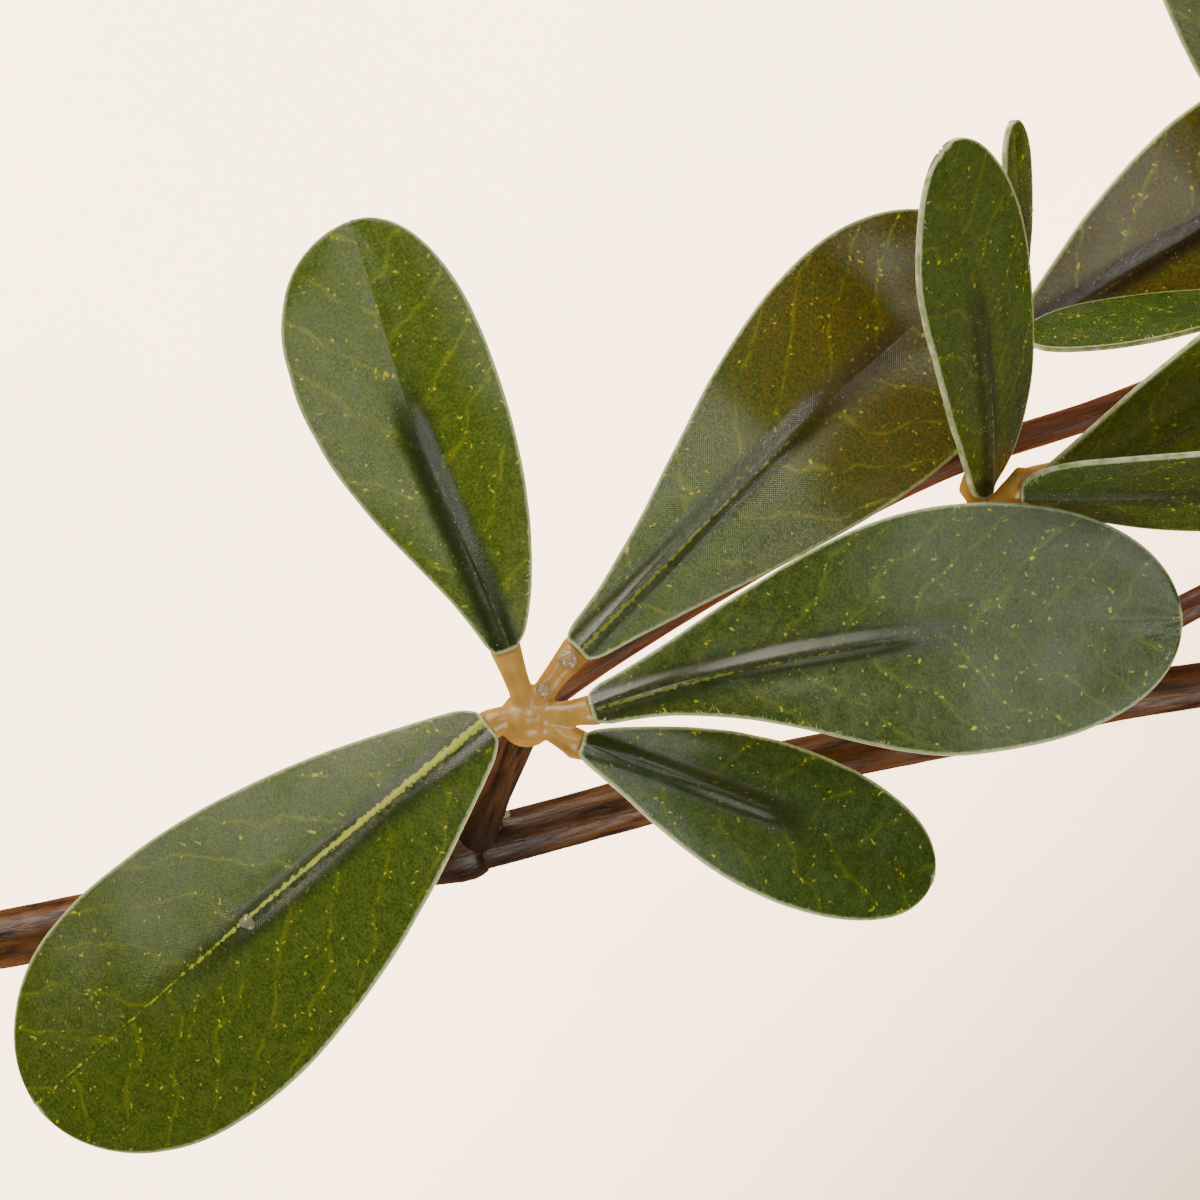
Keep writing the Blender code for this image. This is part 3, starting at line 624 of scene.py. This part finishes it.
leafBuild = {
    "thickness": 0.5,
    "edgeBulge": 0.12,
    "edgeUneven": 1.6,  # share of the bulge
    "edgeSpots": 1.9,  # to a millimetre
    "edgeRows": (0.22, -0.22),  # shares of the thickness
    "rows": 84,
    "columns": 18,  # on each side of the midrib
    "crowding": 1.8,  # columns gather at the midrib
    "lastColumn": 0.98,  # keeps the turn of the edge narrow
    "ridge": 0.6,  # how far the rib pushes the cloth up
    "ridgeHalfWidth": 1.0,
    "ridgeEnd": (0.5, 0.62),
    "ripple": 0.42,
    "rippleLength": (10, 13),  # across and along
    "cushion": 0.22,  # how far each half bulges between midrib and edge
    "cutWobble": 0.14,
    "cutWaves": 7,  # along the leaf
    "foldSoftness": 2.6,  # how round the fold is past the rib
}


def ridgeAt(t, d):
    low, high = leafBuild["ridgeEnd"]
    fade = 1 - smoothstep(low, high, t)
    return leafBuild["ridge"] * fade * math.exp(-(d / leafBuild["ridgeHalfWidth"]) ** 2)


def makeLeaf(name, blade, seed):
    shape = blade.shape
    rows = [0.5 - 0.5 * math.cos(math.pi * k / (leafBuild["rows"] - 1)) for k in range(leafBuild["rows"])]
    rows = [min(t, 0.9994) for t in rows]
    count = leafBuild["columns"]
    sideColumns = [(k / count) ** leafBuild["crowding"] for k in range(1, count + 1)]
    sideColumns.insert(-1, leafBuild["lastColumn"])
    columns = [*(-u for u in reversed(sideColumns)), 0.0, *sideColumns]
    wide = len(columns)
    points, places = [], []

    def surface(t, u, lift, out=0.0):
        half = blade.half(t, u)
        shake = noise.noise(Vector((t * leafBuild["cutWaves"] + seed, math.copysign(3, u), seed)))
        wobble = leafBuild["cutWobble"] * shake * abs(u)
        d = half * u
        across, down = leafBuild["rippleLength"]
        ripple = leafBuild["ripple"] * noise.noise(
            Vector((d / across + seed, t * shape["length"] / down, seed * 1.7)))
        place, along, side, normal = blade.frame(t)
        soft = leafBuild["foldSoftness"] * (0.3 + t)
        fold = math.tan(math.radians(shape["fold"])) * (math.hypot(d, soft) - soft)
        cushion = leafBuild["cushion"] * (1 - (2 * abs(u) - 1) ** 2) * smoothstep(0, 0.2, t)
        level = fold + lift + ridgeAt(t, d) + ripple * smoothstep(0, 0.25, abs(u)) + cushion
        outward = side * math.copysign(1, u) if 0.03 < t < 0.97 else -along if t <= 0.03 else along
        return place + side * (d + math.copysign(wobble, u)) + normal * level + outward * out

    for lift in (1, -1):
        for t in rows:
            for u in columns:
                points.append(surface(t, u, lift * leafBuild["thickness"] / 2))
                places.append((t, u))
    under = len(rows) * wide
    faces, finishes = [], []
    for i in range(len(rows) - 1):
        for j in range(wide - 1):
            a, b = i * wide + j, i * wide + j + 1
            c, d = b + wide, a + wide
            faces.append((a, b, c, d))
            faces.append((under + d, under + c, under + b, under + a))
            finishes += [0, 1]
    last = (len(rows) - 1) * wide
    rim = [*range(wide), *(i * wide + wide - 1 for i in range(1, len(rows)))]
    rim += [*reversed(range(last, last + wide - 1)), *(i * wide for i in reversed(range(1, len(rows) - 1)))]
    middle = len(points)
    outwards = {}
    count = len(rim)
    for k, corner in enumerate(rim):
        before, after = points[rim[k - 1]], points[rim[(k + 1) % count]]
        normal = blade.frame(places[corner][0])[3]
        out = (after - before).cross(normal).normalized()
        centre = (points[corner] + points[corner + under]) / 2
        uneven = leafBuild["edgeUneven"] * noise.noise(centre * leafBuild["edgeSpots"])
        bulge = leafBuild["edgeBulge"] * (1 + uneven)
        for lift in leafBuild["edgeRows"]:
            outwards[len(points)] = out
            points.append(centre + out * bulge + normal * lift * leafBuild["thickness"])
            places.append(places[corner])
    for k, corner in enumerate(rim):
        nextCorner, n = rim[(k + 1) % count], (k + 1) % count
        loops = [(corner, nextCorner), (middle + 2 * k, middle + 2 * n),
                 (middle + 2 * k + 1, middle + 2 * n + 1), (corner + under, nextCorner + under)]
        for (a, b), (c, d) in zip(loops, loops[1:]):
            faces.append((a, c, d, b))
            finishes.append(2)
    for point in points:
        point.z = max(point.z, -shift.z)  # a leaf that lies on the floor is flat there
    made = newObject(name, points, faces)
    mesh = made.data
    for finish in (cloth, clothBack, fibre):
        mesh.materials.append(finish)
    mesh.polygons.foreach_set("material_index", finishes)

    # Print coordinates: millimetres across from the midrib, held clear of zero, and along from the base
    # Blade coordinates: centimetres in from the cut edge, and the share of the length
    printMap, bladeMap = mesh.uv_layers.new(name="print"), mesh.uv_layers.new(name="blade")
    drift = seed * 137.0
    for loop in mesh.loops:
        t, u = places[loop.vertex_index]
        printMap.uv[loop.index].vector = (midribAt + u * blade.half(t, u), drift + t * shape["length"])
        fromCut = min(blade.half(t, u) * (1 - abs(u)), t * shape["length"], (1 - t) * shape["length"])
        bladeMap.uv[loop.index].vector = (fromCut / 10, t)
    tone = mesh.color_attributes.new("tone", "FLOAT_COLOR", "POINT")
    outward = mesh.attributes.new("outward", "FLOAT_VECTOR", "POINT")
    for k, (t, u) in enumerate(places):
        warm = shape["warm"][0] + (shape["warm"][1] - shape["warm"][0]) * smoothstep(0.25, 0.75, t)
        tone.data[k].color = (warm, shape["light"], shape["line"], shape["flank"])
        outward.data[k].vector = outwards.get(k, (0, 0, 0))
    fray = mesh.attributes.new("fray", "BOOLEAN", "EDGE")
    for edge in mesh.edges:
        a, b = sorted(edge.vertices)
        isRim = a >= middle and (a - middle) % 2 == 0 and (b - middle) % 2 == 0
        fray.data[edge.index].value = isRim
    return made


# Fibres that stand out of the cut edge, made by Geometry Nodes along the rim

frayBuild = {
    "Fibre length": 0.62 * mm,
    "Fibre width": 0.09 * mm,
    "Spacing": 0.13 * mm,
    "Tuft length": 2.1,  # how much longer the fibres are where the cloth has torn
    "Seed": 0,
    "Thread": fibre,
}


def newTree(name, build, **kinds):
    # A Geometry Nodes tree with an input for each value of its dictionary, a float unless kinds says more.
    tree = bpy.data.node_groups.new(name, "GeometryNodeTree")
    tree.interface.new_socket("Geometry", in_out="INPUT", socket_type="NodeSocketGeometry")
    for key in build:
        tree.interface.new_socket(key, in_out="INPUT", socket_type="NodeSocket" + kinds.get(key, "Float"))
    tree.interface.new_socket("Geometry", in_out="OUTPUT", socket_type="NodeSocketGeometry")
    return tree, tree.nodes.new("NodeGroupInput").outputs


def stored(tree, name, kind="FLOAT"):
    return addNode(tree, "GeometryNodeInputNamedAttribute", {"Name": name}, data_type=kind).outputs[0]


def store(tree, geometry, name, value):
    return addNode(tree, "GeometryNodeStoreNamedAttribute", {
        "Geometry": geometry, "Name": name, "Value": value}, data_type="FLOAT", domain="POINT").outputs[0]


def frayTree():
    tree, given = newTree("frayed edge", frayBuild, Seed="Int", Thread="Material")
    chosen = stored(tree, "fray", "BOOLEAN")
    curve = addNode(tree, "GeometryNodeMeshToCurve", {
        "Mesh": given["Geometry"], "Selection": chosen}).outputs[0]
    curve = addNode(tree, "GeometryNodeResampleCurve", {
        "Curve": curve, "Length": given["Spacing"]}, mode="LENGTH")
    stray = addNode(tree, "FunctionNodeRandomValue", {
        "Min": (-0.8, -0.8, -0.8), "Max": (0.8, 0.8, 0.8), "Seed": given["Seed"]}, data_type="FLOAT_VECTOR")
    aim = addNode(tree, "ShaderNodeVectorMath", {
        0: stored(tree, "outward", "FLOAT_VECTOR"), 1: stray.outputs[0]}, operation="ADD").outputs[0]
    turn = addNode(tree, "FunctionNodeAlignRotationToVector", {"Vector": aim}, axis="Z").outputs[0]
    tear = addNode(tree, "ShaderNodeTexNoise", {"Scale": 130.0, "Detail": 2.0}).outputs["Fac"]
    tuft = spread(tree, tear, 0.55, 0.7, 0.45, given["Tuft length"], "LINEAR")
    lucky = addNode(tree, "FunctionNodeRandomValue", {
        2: 0.4, 3: 1.0, "Seed": given["Seed"]}, data_type="FLOAT")
    length = product(tree, tuft, lucky.outputs[1], given["Fibre length"])
    wide = given["Fibre width"]
    size = addNode(tree, "ShaderNodeCombineXYZ", {0: wide, 1: wide, 2: length}).outputs[0]
    hair = addNode(tree, "GeometryNodeMeshCone", {
        "Vertices": 3, "Radius Top": 0.0, "Radius Bottom": 1.0, "Depth": 1.0}).outputs["Mesh"]
    hairs = addNode(tree, "GeometryNodeInstanceOnPoints", {
        "Points": curve.outputs[0], "Instance": hair, "Rotation": turn, "Scale": size}).outputs[0]
    real = addNode(tree, "GeometryNodeRealizeInstances", {0: hairs}).outputs[0]
    real = addNode(tree, "GeometryNodeSetMaterial", {
        "Geometry": real, "Material": given["Thread"]}).outputs[0]
    joined = addNode(tree, "GeometryNodeJoinGeometry").inputs[0]
    tree.links.new(real, joined)
    tree.links.new(given["Geometry"], joined)
    result = tree.nodes.new("NodeGroupOutput")
    tree.links.new(joined.node.outputs[0], result.inputs[0])
    return tree


def growOn(thing, tree, values):
    # Runs a Geometry Nodes tree on an object and keeps its result as the object's mesh.
    modifier = thing.modifiers.new(tree.name, "NODES")
    modifier.node_group = tree
    for item in tree.interface.items_tree:
        if item.in_out == "INPUT" and item.name in values:
            modifier[item.identifier] = values[item.name]
    return bake(thing)


# Stems, made by Geometry Nodes: a ring swept along the route, its skin pushed in and out in long ridges

stemBuild = {
    "Sides": 56,
    "Ring spacing": 0.7 * mm,
    "Ridge depth": 0.34 * mm,
    "Ridge count": 2.4,
    "Ridge stretch": ridgeStretch,
    "Skin": bark,
}


def stemTree():
    tree, given = newTree("bark stem", stemBuild, Sides="Int", Skin="Material")
    line = addNode(tree, "GeometryNodeMeshToCurve", {"Mesh": given["Geometry"]}).outputs[0]
    line = addNode(tree, "GeometryNodeResampleCurve", {
        "Curve": line, "Length": given["Ring spacing"]}, mode="LENGTH").outputs[0]
    line = store(tree, line, "along", addNode(tree, "GeometryNodeSplineParameter").outputs["Length"])
    circle = addNode(tree, "GeometryNodeCurvePrimitiveCircle", {
        "Resolution": given["Sides"], "Radius": 1.0}).outputs[0]
    circle = store(tree, circle, "around", addNode(tree, "GeometryNodeSplineParameter").outputs["Factor"])
    skin = addNode(tree, "GeometryNodeCurveToMesh", {
        "Curve": line, "Profile Curve": circle, "Scale": stored(tree, "thick"), "Fill Caps": True}).outputs[0]
    place = roundStem(tree, stored(tree, "around"), stored(tree, "along"), given["Ridge stretch"])
    wave = noiseAt(tree, place, given["Ridge count"], 4.0, 0.65)
    height = product(tree, calc(tree, "SUBTRACT", wave, 0.5), given["Ridge depth"])
    normal = addNode(tree, "GeometryNodeInputNormal").outputs[0]
    push = scaled(tree, normal, height)
    skin = addNode(tree, "GeometryNodeSetPosition", {"Geometry": skin, "Offset": push}).outputs[0]
    skin = addNode(tree, "GeometryNodeRealizeInstances", {0: skin}).outputs[0]
    skin = addNode(tree, "GeometryNodeSetMaterial", {
        "Geometry": skin, "Material": given["Skin"]}).outputs[0]
    result = tree.nodes.new("NodeGroupOutput")
    tree.links.new(skin, result.inputs[0])
    return tree


barkTree = stemTree()


def makeStem(name, route, profile, redness, **changes):
    # profile pairs lengths along the route with radii; the ends are rounded over by closing radii.
    # redness, a number or pairs of length and number, goes from 0 for brown to 1 for red-brown, and
    # below 0 it darkens to near black: the dark wash, and painted shade at the node and at the twigs' feet.
    count = max(2, round((profile[-1][0] - profile[0][0]) / 0.5))
    places = [profile[0][0] + (profile[-1][0] - profile[0][0]) * k / count for k in range(count + 1)]
    places = sorted({*places, *(s for s, _ in profile)})
    radii = []
    for s in places:
        i = max(0, min(len(profile) - 2, sum(1 for x, _ in profile[1:] if x < s)))
        (s0, r0), (s1, r1) = profile[i], profile[i + 1]
        radii.append(r0 + (r1 - r0) * ((s - s0) / (s1 - s0)))
    edges = [(k, k + 1) for k in range(len(places) - 1)]
    made = newObject(name, [route.at(s) for s in places], [], edges)
    thick = made.data.attributes.new("thick", "FLOAT", "POINT")
    for k, r in enumerate(radii):
        thick.data[k].value = r * mm
    growOn(made, barkTree, {**stemBuild, **changes})
    along = made.data.attributes["along"].data
    stops = redness if isinstance(redness, list) else [(0.0, redness), (1.0, redness)]
    values = []
    for item in along:
        s = item.value / mm
        (s0, v0), (s1, v1) = next((pair for pair in zip(stops, stops[1:]) if s <= pair[1][0]), stops[-2:])
        values.append(v0 + (v1 - v0) * max(0.0, min(1.0, (s - s0) / (s1 - s0))))
    made.data.attributes.new("redness", "FLOAT", "POINT").data.foreach_set("value", values)
    made.data.shade_smooth()
    return made


def roundedEnd(s, radius, way, depth=0.8):
    # Closing radii for a stem's end at s, whose face looks along way, +1 or -1.
    angles = (0.0, 0.5, 0.9, 1.2, 1.4)
    pairs = [(s - way * depth * (1 - math.sin(a)), radius * math.cos(a) ** 0.5) for a in angles]
    return pairs if way > 0 else pairs[::-1]


def makeStems():
    made = {}
    main = Route(mainLine)
    node = main.lengths[mainNode * 12]
    tip = main.length
    lower = [(0.0, 3.0), (0.4, 3.1), (node - 9, 3.1), (node - 5, 3.25), (node - 2, 3.55), (node, 3.5)]
    # the lower length darkens to near black towards the node: painted shade where the upper length plugs in
    made["stem_lower"] = makeStem("lowerStem", main, [*lower, *roundedEnd(node + 1.6, 3.2, 1, 1.3)],
                                  [(0, 0.1), (node - 22, 0.1), (node - 9, -0.75), (node + 2, -0.85)])
    upper = [(node - 3, 2.3)]
    upper += [(s, 2.75 - 1.25 * ((s - node) / (tip - node)) ** 1.4) for s in
              [node + 1 + (tip - node - 1) * k / 24 for k in range(25)]]
    # the upper length starts near black at the node: painted shade there
    made["stem_upper"] = makeStem("upperStem", main, upper, [(0, -0.9), (8, -0.8), (18, -0.1), (60, 0.45)])
    for name, corners in (("branch_back", backLine), ("branch_right", rightLine)):
        route = Route(corners)
        profile = [(s, 1.9 - 0.35 * min(1, s / 20)) for s in [route.length * k / 16 for k in range(17)]]
        made[name] = makeStem(name.replace("branch_", "") + "Branch", route, profile, 1.0,
                              **{"Ridge depth": 0.2 * mm})
        made[name + "_route"] = route
    made["stem_upper_route"] = main
    return made


stems = makeStems()
print("stems done")


def makeWire(name, corners, start, end, radius):
    route = Route(corners)
    profile = [(start, radius * 0.7), (start + 0.25, radius), (end, radius)]
    return makeStem(name, route, profile, 0.0, **{
        "Sides": 20, "Ring spacing": 1.5 * mm, "Ridge depth": 0.02 * mm, "Skin": zinc})


wires = {
    "stem_wire": makeWire("stemWire", mainLine, -1.5, Route(mainLine).length - 14.3, 0.8),
    "branch_back_wire": makeWire("backBranchWire", backLine, 3.6, Route(backLine).length - 14.3, 0.45),
    "branch_right_wire": makeWire("rightBranchWire", rightLine, 3.0, Route(rightLine).length - 14.3, 0.45),
}


# Stars: hub, arms and ribs grown together as one soft-edged moulding

starBuild = {
    "hubProfile": [(-3.4, 2.2), (-2.6, 2.7), (-1.0, 2.8), (0.0, 2.4), (0.7, 1.4), (0.9, 0.6)],
    "armRadius": 1.3,
    "flare": 1.25,  # an arm swells where it meets its leaf
    "ribRadius": (1.05, 0.5),
    "ribEnd": 0.58,
    "voxel": 0.24 * mm,
    "smoothing": 6,
}


def ringAround(centre, along, radius, sides, flat=1.0, up=Vector((0, 0, 1))):
    side = along.cross(up).normalized() if along.cross(up).length > 0.2 else along.orthogonal().normalized()
    over = side.cross(along).normalized()
    angles = [2 * math.pi * k / sides for k in range(sides)]
    return [centre + radius * (math.cos(a) * side + math.sin(a) * over * flat) for a in angles]


def tube(stations, sides=14):
    # Points and faces of a closed round rod through stations of (centre, radius).
    points, faces = [], []
    centres = [s[0] for s in stations]
    for i, (centre, radius) in enumerate(stations):
        along = (centres[min(i + 1, len(centres) - 1)] - centres[max(i - 1, 0)]).normalized()
        points += ringAround(centre, along, radius, sides)
    for i in range(len(stations) - 1):
        for k in range(sides):
            n = (k + 1) % sides
            faces.append((i * sides + k, i * sides + n, (i + 1) * sides + n, (i + 1) * sides + k))
    faces += [tuple(range(sides))[::-1], tuple(range((len(stations) - 1) * sides, len(stations) * sides))]
    return points, faces


def joined(parts):
    points, faces = [], []
    for morePoints, moreFaces in parts:
        start = len(points)
        points += morePoints
        faces += [tuple(start + k for k in face) for face in moreFaces]
    return points, faces


def armStations(hub, axis, blade):
    half = leafBuild["thickness"] / 2
    wide, thin = starBuild["ribRadius"]

    def under(t, radius):
        return blade.point(t, 0.0, ridgeAt(t, 0) * 0.9 - half - radius)

    start = hub - axis * 0.5
    seat = under(0.0, wide)
    outward = seat - start
    arch = (outward - blade.frame(0.0)[1] * outward.length) * 0.12
    stations = []
    for k in range(8):
        share = k / 8
        swell = 1 + (starBuild["flare"] - 1) * share ** 2 - 0.1 * math.sin(math.pi * share)
        place = start + outward * share + arch * math.sin(math.pi * share)
        stations.append((place, starBuild["armRadius"] * swell))
    for k in range(21):
        t = starBuild["ribEnd"] * k / 20
        radius = wide + (thin - wide) * k / 20
        if k < 3:
            radius += (starBuild["armRadius"] * starBuild["flare"] - wide) * (1 - k / 3)
        stations.append((under(t, radius), radius))
    end, radius = stations[-1]
    stations.append((end + blade.frame(starBuild["ribEnd"])[1] * radius, radius * 0.5))
    return stations


def makeStar(name, hub, axis, blades):
    hubStations = [(hub + axis * height, radius) for height, radius in starBuild["hubProfile"]]
    parts = [tube(hubStations, 24), *(tube(armStations(hub, axis, blade)) for blade in blades)]
    made = newObject(name, *joined(parts), turnOut=False)
    remesh = made.modifiers.new("melt together", "REMESH")
    remesh.mode = "VOXEL"
    remesh.voxel_size = starBuild["voxel"]
    soften = made.modifiers.new("soften", "SMOOTH")
    soften.factor = 0.5
    soften.iterations = starBuild["smoothing"]
    bake(made)
    made.data.shade_smooth()
    made.data.materials.clear()
    made.data.materials.append(cream)
    return made


# Drops of the glue that was used to put it together

glueDrops = {
    "frontStar": [((-3.2, -5.9, 38.0), 0.95, 0.5), ((-5.6, -9.0, 37.9), 0.7, 0.3)],
    "frontTwig": [((-11.4, -23.6, 14.6), 1.0, 0.5), ((-10.2, -22.9, 13.8), 0.7, 0.8)],
    "frontLeaf5": [((0.51, 0.0, 0.85), 0.75, 0.4)],  # on a leaf: length share, side share and lift
}


def addDrops(thing, drops):
    # Each drop is a centre, a radius in mm and how uneven it is. It keeps to the piece it sits on.
    body = bmesh.new()
    body.from_mesh(thing.data)
    if drops:
        thing.data.materials.append(glue)
    for centre, radius, uneven in drops:
        start = len(body.verts)
        bmesh.ops.create_icosphere(body, subdivisions=3, radius=1.0)
        body.verts.ensure_lookup_table()
        for corner in body.verts[start:]:
            way = corner.co.copy()
            size = radius * (1 + uneven * noise.noise(way * 1.3 + Vector(centre)))
            corner.co = (Vector(centre) + shift + Vector((way.x, way.y, way.z * 0.6)) * size) * mm
            for face in corner.link_faces:
                face.material_index = len(thing.data.materials) - 1
                face.smooth = True
    body.to_mesh(thing.data)
    body.free()


# Put each whorl together

fray = frayTree()


def makeWhorl(name, whorl, order):
    if "hub" in whorl:
        hub, foot = Vector(whorl["hub"]), Vector(whorl["foot"])
        axis = (hub - foot).normalized()
        route = Route([foot, foot.lerp(hub, 0.5), hub])
        profile = [(0.0, 2.5), (1.5, 2.2), (12, 1.75), (route.length - 1.5, 1.75)]
        if route.length < 14:
            profile = [(0.0, 2.4), (route.length - 1.5, 1.9)]
        # a twig darkens towards its foot: painted shade where it meets its stem, over its dark wash
        twig = makeStem(name + "Twig", route, profile, [(0, -0.95), (9, -0.85), (20, -0.45)],
                        **{"Ridge depth": 0.1 * mm})
        addDrops(twig, glueDrops.get(twig.name, []))
        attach(twig, "root")
        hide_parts("twig_" + name)
    else:
        route = stems[whorl["stem"] + "_route"]
        axis = route.end
        hub = route.points[-1] + axis * 0.6
    blades = [Blade(hub, shape) for shape in whorl["leaves"]]
    star = makeStar(name + "Star", hub, axis, blades)
    addDrops(star, glueDrops.get(star.name, []))
    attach(star, "root")
    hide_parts("star_" + name)
    for k, blade in enumerate(blades):
        seed = order + k * 1.37
        made = makeLeaf(f"{name}Leaf{k + 1}", blade, seed)
        growOn(made, fray, {**frayBuild, "Seed": int(seed * 100)})
        addDrops(made, [(blade.point(*place), *drop) for place, *drop in glueDrops.get(made.name, [])])
        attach(made, "root")
        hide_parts(f"leaf_{name}_{k + 1}")
    print(name, "whorl done")


for k, (name, whorl) in enumerate(whorls.items()):
    makeWhorl(name, whorl, 10.0 * k + 3)

for node in ("stem_lower", "stem_upper", "branch_back", "branch_right"):
    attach(stems[node], "root")
    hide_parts(node)
for node, wire in wires.items():
    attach(wire, "root")
    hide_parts(node)


# Floor, light and camera

studio = {
    "floor": "#f1d2b3",
    "floorSize": 3.0,
    "floorGlow": (6.6, 0.55),  # lit from behind: brightest at the upper left, dimmer towards the lower right
    "floorSlant": (-0.02, 0.13),  # where it is brightest and dimmest, as x less y in metres
    "floorFade": (80, 520, 1.1),  # away from the middle, in mm, the glow settles to an even one
    "cameraHeight": 478.0,
    "lens": 132.0,
    "lights": [  # direction from the front whorl, distance, width and depth in mm, power in watts, colour
        ((-0.64, 0.24, 0.73), 620, 70, 100, 0.5, "#fffaf5"),
        ((0.60, 0.19, 0.775), 640, 80, 80, 0.5, "#fffaf5"),
        ((0.25, 0.60, 0.76), 640, 80, 80, 0.6, "#fffaf5"),
        ((0.24, 0.14, 0.96), 660, 170, 40, 0.5, "#fffaf5"),
        ((-0.40, 0.78, 0.48), 640, 420, 420, 4.5, "#fff3e6"),
        ((0.33, -0.74, 0.58), 640, 420, 420, 3.6, "#fff3e6"),
    ],
    "sky": ("#fff3e4", 0.12),
}


def makeFloor():
    made = bpy.data.meshes.new("floor")
    h = studio["floorSize"] / 2
    made.from_pydata([(-h, -h, 0), (h, -h, 0), (h, h, 0), (-h, h, 0)], [], [(0, 1, 2, 3)])
    floor = bpy.data.objects.new("floor", made)
    bpy.context.scene.collection.objects.link(floor)
    finish, tree, shader = newMaterial("pale paper lit from behind")
    place = addNode(tree, "ShaderNodeTexCoord").outputs["Object"]
    x, y, _ = splitXyz(tree, place)
    bright, dim = studio["floorGlow"]
    glow = spread(tree, calc(tree, "SUBTRACT", x, y), *studio["floorSlant"], bright, dim)
    middle = addNode(tree, "ShaderNodeVectorMath", {
        0: place, 1: (shift.x * mm, shift.y * mm, 0.0)}, operation="DISTANCE").outputs["Value"]
    near, far, even = studio["floorFade"]
    glow = spread(tree, middle, near * mm, far * mm, glow, even)
    tree.links.new(glow, shader.inputs["Emission Strength"])
    shader.inputs["Base Color"].default_value = linear(studio["floor"])
    shader.inputs["Roughness"].default_value = 0.9
    shader.inputs["Emission Color"].default_value = linear(studio["floor"])
    made.materials.append(finish)
    floor.visible_glossy = False  # the room around it is dim, so gloss isn't washed out by it
    floor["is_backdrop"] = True


def makeLights():
    world = bpy.data.worlds.new("soft room")
    bpy.context.scene.world = world
    world.use_nodes = True
    sky = world.node_tree.nodes["Background"]
    sky.inputs["Color"].default_value = linear(studio["sky"][0])
    sky.inputs["Strength"].default_value = studio["sky"][1]
    target = shift + Vector(whorls["front"]["hub"])
    for k, (way, distance, width, depth, power, tint) in enumerate(studio["lights"]):
        lamp = bpy.data.lights.new(f"softbox{k + 1}", "AREA")
        lamp.shape = "RECTANGLE"
        lamp.size = width * mm
        lamp.size_y = depth * mm
        lamp.energy = power
        lamp.color = linear(tint)[:3]
        holder = bpy.data.objects.new(lamp.name, lamp)
        direction = Vector(way).normalized()
        holder.location = (target + direction * distance) * mm
        holder.rotation_euler = (-direction).to_track_quat("-Z", "Y").to_euler()
        bpy.context.scene.collection.objects.link(holder)


def makeCamera():
    camera = bpy.data.cameras.new("camera")
    camera.sensor_width = 36.0
    camera.lens = studio["lens"]
    camera.clip_start, camera.clip_end = 0.01, 20.0
    holder = bpy.data.objects.new("camera", camera)
    holder.location = (Vector((0, 0, studio["cameraHeight"])) + shift) * mm
    bpy.context.scene.collection.objects.link(holder)
    bpy.context.scene.camera = holder


makeFloor()
makeLights()
makeCamera()
print("stage done")

low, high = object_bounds()
